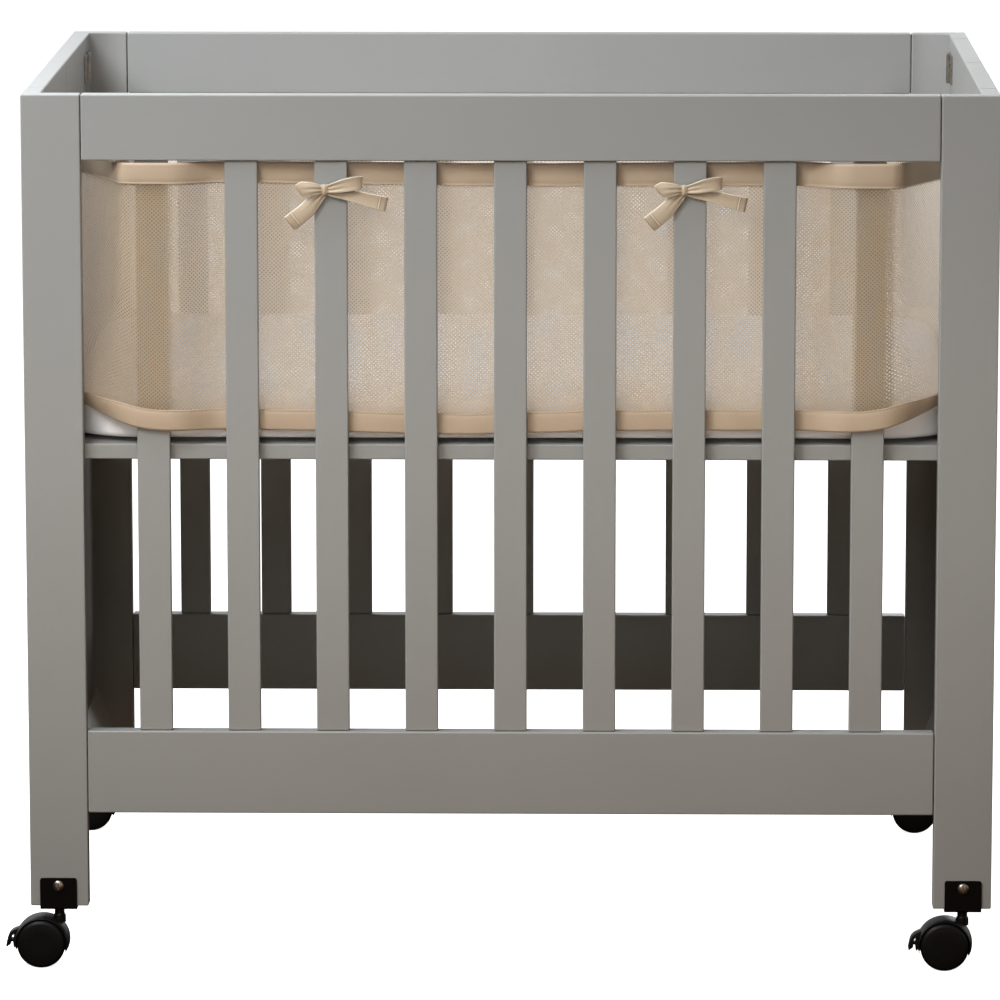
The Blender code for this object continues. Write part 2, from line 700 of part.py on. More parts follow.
# The hood's outer line, seen from the front: (angle in degrees, radius in mm) about the axle.
HOOD_LINE = (
    (-20, 26.9),
    (-9, 28.4),
    (8, 29.3),
    (24, 29.8),
    (42, 30.0),
    (58, 29.7),
    (74, 29.2),
    (90, 28.7),
    (106, 28.4),
    (122, 28.2),
    (138, 28.1),
    (154, 28.1),
    (170, 28.0),
    (182, 27.7),
    (193, 27.2),
)
HOOD_INNER = 26.2
HOOD_DOME = ((-0.0155, 0.25), (-0.0100, 0.80), (0.0, 1.0), (0.0100, 0.80), (0.0155, 0.25))  # (Y, share of its rise)
LEVER_LINE = (  # the brake lever, (x, z) in mm from the axle
    (-21.9, 15.7),
    (-28.8, 13.0),
    (-33.5, 9.0),
    (-35.6, 3.0),
    (-36.8, -4.6),
    (-34.0, -3.4),
    (-31.9, -1.4),
    (-32.2, 3.4),
    (-30.8, 7.6),
    (-24.8, 10.4),
)


def polar(angle, radius_mm):
    turn = math.radians(angle)
    return (radius_mm / 1000 * math.cos(turn), radius_mm / 1000 * math.sin(turn))


def hood_pattern():
    """Hood, web, stem and lever in one piece, about the axle."""
    sections = []
    for level, rise in HOOD_DOME:
        line = [polar(a, HOOD_INNER + rise * (r - HOOD_INNER)) for a, r in HOOD_LINE]
        line += [polar(a, HOOD_INNER) for a, _ in reversed(HOOD_LINE)]
        sections.append([(x, level, z) for x, z in line])
    shell = bmesh.new()
    add_tube(shell, sections)
    web = bmesh.new()
    arc = [polar(a, (r + HOOD_INNER) / 2) for a, r in HOOD_LINE]
    add_prism(web, arc + [(-0.008, -0.003), (-0.004, -0.008), (0.004, -0.008), (0.008, -0.003)], -0.0042, 0.0042)
    stem = bmesh.new()
    top = PLATE_FOOT - JOINT_GAP - WHEEL_RADIUS
    add_lathe(stem, [(0, 0.0210), (STEM_RADIUS, 0.0210), (STEM_RADIUS, top), (0, top)], 16, "Z")
    bmesh.ops.translate(stem, vec=(TRAIL, 0, 0), verts=stem.verts)
    lever = bmesh.new()
    add_prism(lever, [(x / 1000, z / 1000) for x, z in LEVER_LINE], -0.0070, 0.0070)
    whole = joined(helper(shell, "black_nylon"), [helper(b, "black_nylon") for b in (web, stem, lever)])
    hole = bmesh.new()
    r = AXLE_RADIUS + JOINT_GAP
    add_lathe(hole, [(0, -0.02), (r, -0.02), (r, 0.02), (0, 0.02)], 16)
    return joined(whole, [helper(hole, "black_nylon")], "DIFFERENCE")


def wheels_mesh():
    """Two wheels on one axle, turned about Y."""
    half = [
        (0.0, -0.0178),
        (0.0190, -0.0180),
        (0.0232, -0.0166),
        (WHEEL_RADIUS, -0.0138),
        (WHEEL_RADIUS, -0.0052),
        (AXLE_RADIUS, -0.0052),
    ]
    bm = bmesh.new()
    add_lathe(bm, half + [(r, -y) for r, y in reversed(half)], WHEEL_SIDES)
    return mesh_from(bm, "caster_wheels", "black_nylon", 35)


def bracket_mesh():
    """A channel of steel round the post's foot, about the post's middle plane; front at -Y."""
    outer = BOARD / 2 + JOINT_GAP + PLATE_THICK
    inner = BOARD / 2 + JOINT_GAP
    floor = POST_FOOT - JOINT_GAP
    outline = [
        (-outer, PLATE_TOP),
        (-outer, PLATE_FOOT),
        (outer, PLATE_FOOT),
        (outer, PLATE_TOP),
        (inner, PLATE_TOP),
        (inner, floor),
        (-inner, floor),
        (-inner, PLATE_TOP),
    ]
    bm = bmesh.new()
    add_prism(bm, outline, -PLATE_WIDTH / 2, PLATE_WIDTH / 2, "X")
    low = [e for e in bm.edges if is_foot_edge(e)]
    high = [e for e in bm.edges if is_top_corner(e)]
    bmesh.ops.bevel(bm, geom=low + high, offset=0.0024, segments=2, affect="EDGES", profile=0.5)
    return mesh_from(bm, "caster_bracket", "black_plate")


def is_foot_edge(edge):
    a, b = (v.co for v in edge.verts)
    level = abs(a.z - PLATE_FOOT) < 1e-6 and abs(b.z - PLATE_FOOT) < 1e-6
    return level and abs(a.x - b.x) < 1e-6


def is_top_corner(edge):
    a, b = (v.co for v in edge.verts)
    level = abs(a.z - PLATE_TOP) < 1e-6 and abs(b.z - PLATE_TOP) < 1e-6
    return level and abs(a.x - b.x) < 1e-6


def screw_pattern():
    """A pan-head screw with a cross in it; its seat is at Y = 0 and it faces -Y."""
    bm = bmesh.new()
    add_lathe(bm, [(0, 0), (0.0058, 0), (0.0058, -0.0009), (0.0042, -0.0020), (0, -0.0025)], 16)
    head = helper(bm, "nickel")
    cross = bmesh.new()
    arm, long = 0.0006, 0.0028
    plus = [(arm, arm), (arm, long), (-arm, long), (-arm, arm), (-long, arm), (-long, -arm)]
    plus += [(-arm, -arm), (-arm, -long), (arm, -long), (arm, -arm), (long, -arm), (long, arm)]
    add_prism(cross, plus, -0.0040, -0.0014)
    return joined(head, [helper(cross, "nickel")], "DIFFERENCE")


def make_casters(crib):
    hood = hood_pattern()
    screw = screw_pattern()
    wheels, bracket = wheels_mesh(), bracket_mesh()
    for mesh in (hood.data, screw.data):
        mesh.shade_smooth()
        mesh.set_sharp_from_angle(angle=math.radians(35))
    for face, y in (("front", -1), ("back", 1)):
        for side, x in (("left", -1), ("right", 1)):
            name = f"{face}_{side}"
            stem = new_empty(f"stem_{name}", (x * CASTER_X, y * BOARD_MID_Y, 0), crib)
            turn = 0.0 if face == "front" else math.pi
            new_object(f"caster_bracket_{name}", bracket, stem, (0, 0, 0), turn)
            seat = BOARD / 2 + 2 * JOINT_GAP + PLATE_THICK
            new_object(f"caster_screw_{name}", screw.data, stem, (0, y * seat, 0.0860), turn)
            new_object(f"caster_hood_{name}", hood.data, stem, (-TRAIL, 0, WHEEL_RADIUS))
            new_object(f"caster_wheels_{name}", wheels, stem, (-TRAIL, 0, WHEEL_RADIUS))
    bpy.data.objects.remove(hood, do_unlink=True)
    bpy.data.objects.remove(screw, do_unlink=True)


def main():
    clear_scene()
    crib = new_empty("crib", (CRIB_SHIFT, 0, 0))
    make_posts(crib)
    make_rails(crib)
    make_slats(crib)
    make_ends(crib)
    make_hinges(crib)
    make_support(crib)
    make_mattress(crib)
    make_bumper(crib)
    make_ties(crib)
    make_casters(crib)
    bpy.context.view_layer.update()


main()
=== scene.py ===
# %% [markdown]
# # A breathable crib bumper, tied inside a mini crib
# The bumper is one long strip of knitted mesh with a satin binding along each edge. It stands on
# edge round the mattress, weaves in and out of the slats near the corners, and two ribbon bows hold
# it to the front. The crib that carries it is plain painted wood on four twin-wheel casters.
#
# The notebook goes the way a maker would: boards first, then the fittings and casters, then the
# cloth with its bindings and ties, and last the mattress, the light and the camera. Each step says
# what the piece is, how it could be made in Blender, and why it was made this way here.

import math

import bmesh
import bpy
import numpy as np
from mathutils import Matrix, Vector, noise
from mathutils.geometry import intersect_point_line


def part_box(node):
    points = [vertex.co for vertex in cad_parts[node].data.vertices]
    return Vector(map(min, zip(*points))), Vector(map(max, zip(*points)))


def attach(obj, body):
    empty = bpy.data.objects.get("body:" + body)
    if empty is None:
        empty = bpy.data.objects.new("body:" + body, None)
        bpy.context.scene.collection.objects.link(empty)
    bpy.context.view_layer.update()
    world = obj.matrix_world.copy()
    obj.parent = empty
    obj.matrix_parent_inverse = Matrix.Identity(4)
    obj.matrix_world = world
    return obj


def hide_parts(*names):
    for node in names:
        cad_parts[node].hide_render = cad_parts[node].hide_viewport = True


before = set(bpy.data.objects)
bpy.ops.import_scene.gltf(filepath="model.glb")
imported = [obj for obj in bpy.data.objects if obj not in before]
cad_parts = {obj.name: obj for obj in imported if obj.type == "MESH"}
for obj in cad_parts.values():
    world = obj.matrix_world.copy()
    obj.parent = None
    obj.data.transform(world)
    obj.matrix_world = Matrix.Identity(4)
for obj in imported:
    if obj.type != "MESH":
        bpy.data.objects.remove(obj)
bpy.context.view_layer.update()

# %% [markdown]
# ## Shader sums as Python sums
# A material in Blender is a graph of nodes. Placing Math nodes by hand is slow to write and hard to
# read, so one small class wraps a node's output and lets Python's own operators add the Math nodes:
# `1 - mask` is then a Subtract node. Colours go through a Mix node, because a Math node would turn
# them grey. Every other node comes from the one method `node`.


# %% The class that wraps a socket
class Socket:
    """One output in a material's graph. Arithmetic on it adds the Math nodes for the sum."""

    def __init__(self, tree, output=None):
        self.tree, self.output = tree, output

    def node(self, kind, settings=None, inputs=None, out=0):
        """Adds a node: its settings first, then the values or links of its sockets."""
        made = self.tree.nodes.new("ShaderNode" + kind)
        for name, value in (settings or {}).items():
            setattr(made, name, value)
        for name, value in (inputs or {}).items():
            if isinstance(value, Socket):
                self.tree.links.new(value.output, made.inputs[name])
            else:
                made.inputs[name].default_value = value
        return Socket(self.tree, made.outputs[out])

    def math(self, operation, *others):
        return self.node("Math", {"operation": operation}, dict(enumerate((self, *others))))

    def __add__(self, other):
        return self.math("ADD", other)

    def __sub__(self, other):
        return self.math("SUBTRACT", other)

    def __mul__(self, other):
        return self.math("MULTIPLY", other)

    def __rsub__(self, other):
        return self.node("Math", {"operation": "SUBTRACT"}, {0: other, 1: self})

    __radd__, __rmul__ = __add__, __mul__

    def rise(self, low, high):
        """0 below low, 1 above high, and an easy slope between; low may be the larger one."""
        return self.node(
            "MapRange", {"interpolation_type": "SMOOTHSTEP"}, {0: self, 1: low, 2: high}
        )

    def pick(self, off, on):
        """The colour `off` where this mask is 0 and `on` where it is 1."""
        return self.node("Mix", {"data_type": "RGBA"}, {0: self, 6: off, 7: on}, out=2)

    def axis(self, which):
        """The x, y or z of a place, as 0, 1 or 2."""
        return self.node("SeparateXYZ", None, {0: self}, out=which)

    def drawn_out(self, *times):
        """A place whose x, y and z are multiplied: less than 1 draws what is laid on it out."""
        return self.node("VectorMath", {"operation": "MULTIPLY"}, {0: self, 1: times})


def rgb(red, green, blue):
    """A colour as a paint chart gives it, 0 to 255, in the linear light that shaders use."""
    light = [c / 255 for c in (red, green, blue)]
    return (*[c / 12.92 if c <= 0.04045 else ((c + 0.055) / 1.055) ** 2.4 for c in light], 1.0)


print("a Socket knows:", ", ".join(n for n in vars(Socket) if not n.startswith("_")))


# %% The start of a finish, and its last step
def new_finish(name):
    finish = bpy.data.materials.new(name)
    finish.use_nodes = True
    return finish


def wire(finish, **inputs):
    """Sets or links the shader's sockets; a bump is (height, strength, distance in metres)."""
    shader = finish.node_tree.nodes["Principled BSDF"]
    for name, value in inputs.items():
        if name == "bump":
            height, strength, distance = value
            bump = {"Strength": strength, "Distance": distance, "Height": height}
            name, value = "Normal", height.node("Bump", None, bump)
        socket = shader.inputs[name.replace("_", " ")]
        if isinstance(value, Socket):
            value.tree.links.new(value.output, socket)
        else:
            socket.default_value = value
    return finish


def place_of(finish):
    """Where a point is on the object, in metres, which stays with the piece when it moves."""
    return Socket(finish.node_tree).node("TexCoord", out="Object")


def cloud(place, size, detail=2.0, rough=0.5):
    """Soft noise from 0 to 1 whose blotches are `size` metres across."""
    inputs = {"Vector": place, "Scale": 1 / size, "Detail": detail, "Roughness": rough}
    return place.node("TexNoise", {"noise_dimensions": "3D"}, inputs)


print("finishes are built from noise in metres, so their scale is real")

# %% [markdown]
# ## Painted boards
# The crib is sprayed with a grey satin paint over solid wood. Close up such paint is not flat: it
# has the faint orange peel of the spray gun and fine streaks where the grain shows through. Along the
# edges it is painted lighter, partly as rubbed paint and partly as a painted highlight. One function
# makes the finish for a given direction of the grain, because a rail's grain runs along X and a post's
# along Z.


# %% Paint finish
def grey_paint(name, along):
    finish = new_finish(name)
    place = place_of(finish)
    squeeze = [0.035 if axis == along else 1.0 for axis in "XYZ"]  # draws the grain out along it
    grain = cloud(place.drawn_out(*squeeze), 0.0022, 3.0, 0.6)
    peel = cloud(place, 0.0016, 1.0)
    wide = cloud(place, 0.16)
    edge = place.node("Attribute", {"attribute_name": "edge"}, out="Fac")
    tone = (wide * 0.7 + grain * 0.3).rise(0.3, 0.7)
    body = tone.pick(rgb(151, 152, 150), rgb(154, 154, 152))
    # painted highlight: the rounded edges are painted lighter, partly rubbed paint and partly a
    # highlight
    rubbed_and_highlit = (edge * (0.25 + grain * 0.3)).pick(body, rgb(172, 171, 167))
    return wire(
        finish,
        Base_Color=rubbed_and_highlit,
        Roughness=0.40 + wide * 0.08 + grain * 0.03,
        Specular_IOR_Level=0.4,
        bump=(grain * 0.5 + peel * 0.5, 0.10, 0.0001),
    )


PAINT = {axis: grey_paint(f"grey_paint_{axis.lower()}", axis) for axis in "XYZ"}
print("paint for grain along:", ", ".join(PAINT))

# %% [markdown]
# ## Boards with rounded edges
# Posts, rails, slats and end panels are straight boards with eased edges. A cube with a Bevel
# modifier would do, but here the box is bevelled in code, so that the points of the rounding can
# carry a value called "edge", which the paint reads to lighten the corners: rubbed paint and a
# painted highlight. Each board is made to the exact box of the solid that it stands for. The weighted
# normals keep the broad faces flat and let only the rounding shade round.


# %% Helpers that put a mesh in the scene
def add(name, data):
    thing = bpy.data.objects.new(name, data)
    bpy.context.scene.collection.objects.link(thing)
    return thing


def place(name, mesh, slot, solid, body="root", at=(0, 0, 0), turned_round=False):
    """Puts a piece in the scene, on its body, in place of its solid."""
    piece = add(name, mesh)
    piece.matrix_world = Matrix.Translation(at) @ Matrix.Rotation(math.pi * turned_round, 4, "Z")
    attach(piece, body)
    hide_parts(solid)
    return piece


def show(name, mesh, finish, slot, solid):
    """Gives a mesh its finish and puts it where it was modelled."""
    mesh.materials.append(finish)
    mesh.shade_smooth()
    return place(name, mesh, slot, solid)


def mesh_of(bm, name):
    mesh = bpy.data.meshes.new(name)
    bm.to_mesh(mesh)
    bm.free()
    return mesh


def flat_faces(piece):
    """Keeps large faces flat next to small roundings."""
    step = piece.modifiers.new("flat_faces", "WEIGHTED_NORMAL")
    step.weight, step.keep_sharp = 100, False
    return piece


# %% Boards
ARRIS = 0.0016  # rounding of a board's edges


def round_edges(bm, edges, radius, segments, clamp=True):
    shape = {"affect": "EDGES", "profile": 0.5, "clamp_overlap": clamp}
    bmesh.ops.bevel(bm, geom=edges, offset=radius, segments=segments, **shape)


def eased(bm):
    """Rounds the outward edges; the value "edge" is 1 on the rounding and 0 on the faces."""
    bmesh.ops.recalc_face_normals(bm, faces=bm.faces)
    outward = [e for e in bm.edges if e.is_convex]
    lines = [(e.verts[0].co.copy(), e.verts[1].co.copy()) for e in outward]
    round_edges(bm, outward, ARRIS, 3)
    edge = bm.verts.layers.float.new("edge")
    for vert in bm.verts:
        near = min((intersect_point_line(vert.co, *line)[0] - vert.co).length for line in lines)
        vert[edge] = max(0.0, min(1.0, 1.5 - 1.5 * near / ARRIS))
    return bm


def plain_block(low, high):
    bm = bmesh.new()
    bmesh.ops.create_cube(bm, size=1.0)
    bmesh.ops.scale(bm, vec=high - low, verts=bm.verts)
    bmesh.ops.translate(bm, vec=(high + low) / 2, verts=bm.verts)
    return bm


# %% Corner posts
POST_WIDTH, POST_BOARD, POST_SIDE, SIDE_FOOT = 0.060, 0.019, 0.071, 0.163


def corner_block(low, high, x, y):
    """A post from above is an L: a front board, and a side board that stops above the foot.

    x and y are the signs of the corner that the post stands in.
    """
    bm = bmesh.new()
    outer = Vector((high.x if x > 0 else low.x, high.y if y > 0 else low.y))

    def corner(across, deep, level):
        return bm.verts.new((outer.x - x * across, outer.y - y * deep, level))

    plan = (
        *((0, 0), (POST_WIDTH, 0), (POST_WIDTH, POST_BOARD)),
        *((POST_BOARD, POST_BOARD), (POST_BOARD, POST_SIDE), (0, POST_SIDE)),
    )
    top = [corner(*at, high.z) for at in plan]
    step = [corner(*at, SIDE_FOOT) for at in (*plan[3:], (0, POST_BOARD))]
    foot = [corner(*at, low.z) for at in (*plan[:3], (0, POST_BOARD))]
    for face in (
        *(top, foot, step),
        *((foot[0], foot[1], top[1], top[0]), (foot[1], foot[2], top[2], top[1])),
        *((foot[2], foot[3], step[3], step[0], top[3], top[2]), (step[0], step[1], top[4], top[3])),
        *((step[1], step[2], top[5], top[4]), (foot[3], foot[0], top[0], top[5], step[2], step[3])),
    ):
        bm.faces.new(face)
    return bm


# %% Make the boards
def make_boards():
    count = 0
    for name in sorted(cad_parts):
        kind = name.split("_")[0]
        if kind not in ("post", "rail", "slat", "end") and name != "mattress_support":
            continue
        low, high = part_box(name)
        size = high - low
        along = "Y" if kind == "end" else "XYZ"[max(range(3), key=lambda i: size[i])]
        if kind == "post":
            x, y = 1 if "right" in name else -1, 1 if "back" in name else -1
            block = corner_block(low, high, x, y)
        else:
            block = plain_block(low, high)
        mesh = mesh_of(eased(block), f"{name}_board")
        flat_faces(show(f"{name}_board", mesh, PAINT[along], "painted_wood", name))
        count += 1
    print("boards:", count)


make_boards()

# %% [markdown]
# ## Metal and plastic finishes
# The hinges and screws are nickel plated: bright, slightly warm, with fine brushing and duller
# patches. The caster brackets are powder coated steel, whose grain is a fine pebble. The casters are
# black nylon from a mould: smooth, a little cloudy, and scuffed to grey where they touch the floor.


# %% Nickel, powder coat and nylon
def nickel_plate():
    finish = new_finish("nickel_plate")
    place = place_of(finish)
    brush = cloud(place.drawn_out(1, 1, 0.08), 0.0004)
    patch = cloud(place, 0.006, 3.0)
    return wire(
        finish,
        Base_Color=patch.pick(rgb(120, 116, 111), rgb(190, 186, 180)),
        Metallic=1.0,
        Roughness=0.20 + patch * 0.14 + brush * 0.08,
        bump=(brush, 0.12, 0.00005),
    )


def powder_coat():
    finish = new_finish("black_powder_coat")
    place = place_of(finish)
    pebble = place.node("TexVoronoi", {"feature": "F1"}, {"Vector": place, "Scale": 1600.0})
    patch = cloud(place, 0.02)
    return wire(
        finish,
        Base_Color=patch.pick(rgb(12, 10, 9), rgb(17, 15, 13)),
        Roughness=0.46 + patch * 0.12,
        Specular_IOR_Level=0.05,
        bump=(pebble, 0.25, 0.0001),
    )


def moulded_nylon():
    finish = new_finish("black_nylon")
    place = place_of(finish)
    matte = cloud(place, 0.0009)
    patch = cloud(place, 0.018, 3.0)
    scuff = cloud(place.drawn_out(0.2, 1, 1), 0.0012, 3.0, 0.7).rise(0.62, 0.72)
    return wire(
        finish,
        Base_Color=(scuff * 0.25).pick(rgb(12, 12, 12), rgb(44, 43, 42)),
        Roughness=0.38 + patch * 0.14 + scuff * 0.15,
        Specular_IOR_Level=0.2,
        bump=(matte, 0.10, 0.0001),
    )


NICKEL, POWDER_COAT, NYLON = nickel_plate(), powder_coat(), moulded_nylon()
for name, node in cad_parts.items():
    if name.startswith("hinge_"):
        node.data.materials.clear()
        node.data.materials.append(NICKEL)
print("hinges plated, finishes made")

# %% [markdown]
# ## Turned and extruded parts
# Wheels, stems and screw heads are turned: a profile swept round an axis. Brackets, hoods and levers
# are a flat outline given a width. Both could be modifiers (Screw and Solidify), but two short
# functions in mesh code keep the profiles as plain lists of millimetres that can be read against the
# real part.


# %% Helpers for turned and extruded parts
def turned(profile, sides, axis="Y"):
    """Sweeps (radius, level) in mm round the axis. It starts and ends on the axis."""
    bm = bmesh.new()
    rings = []
    for radius, level in profile:
        ring = []
        for i in range(sides if radius else 1):
            angle = 2 * math.pi * i / sides
            a, b = radius * math.sin(angle), -radius * math.cos(angle)
            at = (a, level, b) if axis == "Y" else (a, b, level)
            ring.append(bm.verts.new(Vector(at) / 1000))
        rings.append(ring)
    for one, two in zip(rings, rings[1:]):
        for i in range(sides):
            j = (i + 1) % sides
            corners = (one[i % len(one)], one[j % len(one)], two[j % len(two)], two[i % len(two)])
            bm.faces.new(list(dict.fromkeys(corners)))
    bmesh.ops.recalc_face_normals(bm, faces=bm.faces)
    return bm


def skin(bm, one, two):
    """Faces from one closed ring of points to the next."""
    nexts = zip(one[1:] + one[:1], two[1:] + two[:1])
    return [bm.faces.new((a, b, d, c)) for a, b, (c, d) in zip(one, two, nexts)]


def extruded(outline, low, high, radius=0.0, axis="Y"):
    """A flat outline in mm given a width along the axis, with its rim rounded."""
    bm = bmesh.new()
    rings = []
    for level in (low, high):
        at = [(a, level, b) if axis == "Y" else (level, a, b) for a, b in outline]
        rings.append([bm.verts.new(Vector(p) / 1000) for p in at])
    bm.faces.new(rings[0])
    bm.faces.new(rings[1][::-1])
    sides = set(skin(bm, *rings))
    bmesh.ops.recalc_face_normals(bm, faces=bm.faces)
    if radius:
        rim = [e for e in bm.edges if len(sides & set(e.link_faces)) == 1]
        round_edges(bm, rim, radius / 1000, 2)
    return bm


def combined(first, others, operation="UNION"):
    """Joins or cuts closed meshes, exactly, and gives the result as one mesh."""
    objects = [add("tool", mesh_of(bm, "tool")) for bm in (first, *others)]
    for other in objects[1:]:
        step = objects[0].modifiers.new("step", "BOOLEAN")
        step.operation, step.solver, step.object = operation, "EXACT", other
    graph = bpy.context.evaluated_depsgraph_get()
    result = bpy.data.meshes.new_from_object(objects[0].evaluated_get(graph))
    for piece in objects:
        bpy.data.objects.remove(piece, do_unlink=True)
    return result


def smooth_to(mesh, degrees):
    mesh.shade_smooth()
    mesh.set_sharp_from_angle(angle=math.radians(degrees))
    return mesh


def between(points, count):
    """A smooth line through the points, `count` steps to each gap, for rows of any numbers."""
    rows = np.array(points, float)
    padded = np.vstack([2 * rows[0] - rows[1], rows, 2 * rows[-1] - rows[-2]])
    out = []
    for i in range(1, len(rows)):
        a, b, c, d = padded[i - 1 : i + 3]
        for t in np.arange(count) / count:
            square, cube = 2 * a - 5 * b + 4 * c - d, 3 * b - a - 3 * c + d
            out.append(0.5 * (2 * b + (c - a) * t + square * t**2 + cube * t**3))
    return np.array(out + [rows[-1]])


def lengths(line):
    """How far along a line each of its points is."""
    return np.concatenate([[0], np.cumsum(np.linalg.norm(np.diff(line, axis=0), axis=1))])


def unit(rows):
    """Vectors, one to a row, each made 1 long."""
    return rows / np.linalg.norm(rows, axis=1)[:, None]


print("helpers: turned, extruded, combined, smooth_to, between, lengths, unit")

# %% [markdown]
# ## Casters
# Each caster is a moulded hood over two wheels, on a stem that turns in a steel bracket. The hood's
# outline and the brake lever's are the same millimetres as the solid's, made finer here: the outline
# is run through a smooth curve, and the hood is domed across in eleven sections. The wheel is turned
# from a profile: a flat face with a fine ring near its rim, a rounded rim and the tread. Hood and
# wheels are on bodies of their own, so that the caster swivels and rolls.

# %% The casters' measures
WHEEL_RADIUS, TRAIL, AXLE_RADIUS, STEM_RADIUS = 25.0, 18.5, 3.0, 5.2
PLATE_FOOT, PLATE_TOP, PLATE_HALF = 61.1, 94.3, 19.0
HALF_BOARD, POST_FOOT, SCREW_HEIGHT = 9.5, 64.4, 86.0
STEEL, BEND, GAP = 1.5, 1.8, 0.3  # thickness, outer radius of the bends, air between pieces
HOOD_INNER, HOOD_HALF = 26.2, 15.5  # the hood's inner radius about the axle, and half its width
WEB_HALF, LEVER_HALF, TOOTH_HALF = 4.2, 7.0, 6.0  # half widths
HOOD_LINE = (  # (degrees, mm) about the axle, seen from the front
    *((-20, 26.9), (-9, 28.4), (8, 29.3), (24, 29.8), (42, 30.0), (58, 29.7), (74, 29.2), (90, 28.7)),
    *((106, 28.4), (122, 28.2), (138, 28.1), (154, 28.1), (170, 28.0), (182, 27.7), (193, 27.2)),
)
TOOTH_LINE = (  # the stop inside the lever, with the bridge to it
    *((-32.6, 1.2), (-29.8, 0.6), (-29.2, -5.0), (-28.3, -6.0), (-25.4, -2.0), (-25.4, 6.0)),
    *((-28.8, 7.0), (-29.4, 2.6), (-32.6, 3.0)),
)
LEVER_LINE = (  # (x, z) in mm from the axle
    *((-21.9, 15.7), (-28.8, 13.0), (-33.5, 9.0), (-35.6, 3.0), (-36.8, -4.6)),
    *((-34.0, -3.4), (-31.9, -1.4), (-31.8, 3.4), (-30.2, 7.4), (-24.8, 8.6)),
)


def polar(angle, radius):
    return radius * math.cos(math.radians(angle)), radius * math.sin(math.radians(angle))


# %% Hood, stem and lever
def domed_shell():
    """The hood's wall: domed across, open below, with rims that thin out."""
    line = between(HOOD_LINE, 3)
    bm = bmesh.new()
    rings = []
    for t in np.linspace(-1.5, 1.5, 11):
        level, rise = HOOD_HALF * math.sin(t), max(0.16, math.cos(t) ** 0.8)
        outer = [polar(a, HOOD_INNER + rise * (r - HOOD_INNER)) for a, r in line]
        inner = [polar(a, HOOD_INNER) for a, _ in line[::-1]]
        rings.append([bm.verts.new(Vector((x, level, z)) / 1000) for x, z in outer + inner])
    for one, two in zip(rings, rings[1:]):
        skin(bm, one, two)
    count = len(rings[0])
    for ring, side in ((rings[0], 1), (rings[-1], -1)):
        for i in range(len(line) - 1):
            quad = (ring[i], ring[i + 1], ring[count - 2 - i], ring[count - 1 - i])
            bm.faces.new(quad[::side])
    bmesh.ops.recalc_face_normals(bm, faces=bm.faces)
    return bm


def hood_mesh():
    arc = [polar(a, (r + HOOD_INNER) / 2) for a, r in HOOD_LINE]
    web = extruded(arc + [(-8, -3), (-4, -8), (4, -8), (8, -3)], -WEB_HALF, WEB_HALF)
    top = PLATE_FOOT - GAP - WHEEL_RADIUS
    stem = turned(
        [(0, 21), (6.6, 21), (6.4, 28.5), (STEM_RADIUS + 0.2, 29.6)]
        + [(STEM_RADIUS, 30.5), (STEM_RADIUS, top), (0, top)],
        48,
        "Z",
    )
    bmesh.ops.translate(stem, vec=(TRAIL / 1000, 0, 0), verts=stem.verts)
    lever = extruded([tuple(p) for p in between(LEVER_LINE, 3)], -LEVER_HALF, LEVER_HALF, 0.5)
    tooth = extruded(list(TOOTH_LINE), -TOOTH_HALF, TOOTH_HALF, 0.2)
    whole = bmesh.new()
    whole.from_mesh(combined(domed_shell(), [web, stem, lever, tooth]))
    hole = turned([(0, -20), (AXLE_RADIUS + GAP, -20), (AXLE_RADIUS + GAP, 20), (0, 20)], 32)
    return smooth_to(combined(whole, [hole], "DIFFERENCE"), 32)


# %% Wheels
def wheels_mesh():
    """Two wheels and their axle, turned in one go."""
    half = [
        *((0, -17.5), (12.5, -17.5), (20.2, -17.6), (20.8, -17.45), (21.4, -17.5), (22.4, -17.15)),
        *((23.4, -16.4), (24.4, -15.3), (24.85, -14.6)),
        *((WHEEL_RADIUS, -13.8), (WHEEL_RADIUS, -7.0), (24.6, -5.6), (24.0, -5.2)),
        *((6.5, -5.2), (6.0, -4.9), (AXLE_RADIUS, -4.9)),
    ]
    return smooth_to(mesh_of(turned(half + [(r, -y) for r, y in half[::-1]], 72), "wheels"), 40)


# %% Bracket and screw
def bracket_mesh():
    """A channel of steel round the post's foot, its corners and bends rounded."""
    half_board, foot = HALF_BOARD + GAP, POST_FOOT - GAP
    outer = half_board + STEEL
    bend = [
        (outer - BEND + BEND * math.sin(t), PLATE_FOOT + BEND - BEND * math.cos(t))
        for t in np.linspace(0, 1.57, 5)
    ]
    right = [*bend, (outer, PLATE_TOP), (half_board, PLATE_TOP), (half_board, foot)]
    outline = right + [(-a, b) for a, b in right[::-1]]
    bm = extruded(outline, -PLATE_HALF, PLATE_HALF, 0.0, "X")
    at_top = [e for e in bm.edges if all(abs(v.co.z * 1000 - PLATE_TOP) < 0.01 for v in e.verts)]
    corners = [e for e in at_top if abs(e.verts[0].co.x - e.verts[1].co.x) < 1e-6]
    round_edges(bm, corners, 0.0026, 5, clamp=False)
    return mesh_of(bm, "bracket")


def screw_mesh():
    """A pan head with a cross recess, facing -Y from its seat at 0."""
    dome = [(5.8, 0), (5.9, -0.3), (5.7, -0.9), (5.0, -1.6), (3.6, -2.2), (1.8, -2.45)]
    arms = [
        extruded([(-wide, -long), (wide, -long), (wide, long), (-wide, long)], -4.0, -0.4)
        for wide, long in ((0.7, 3.0), (3.0, 0.7))
    ]
    head = turned([(0, 0), *dome, (0, -2.5)], 48)
    return smooth_to(combined(head, arms, "DIFFERENCE"), 30)


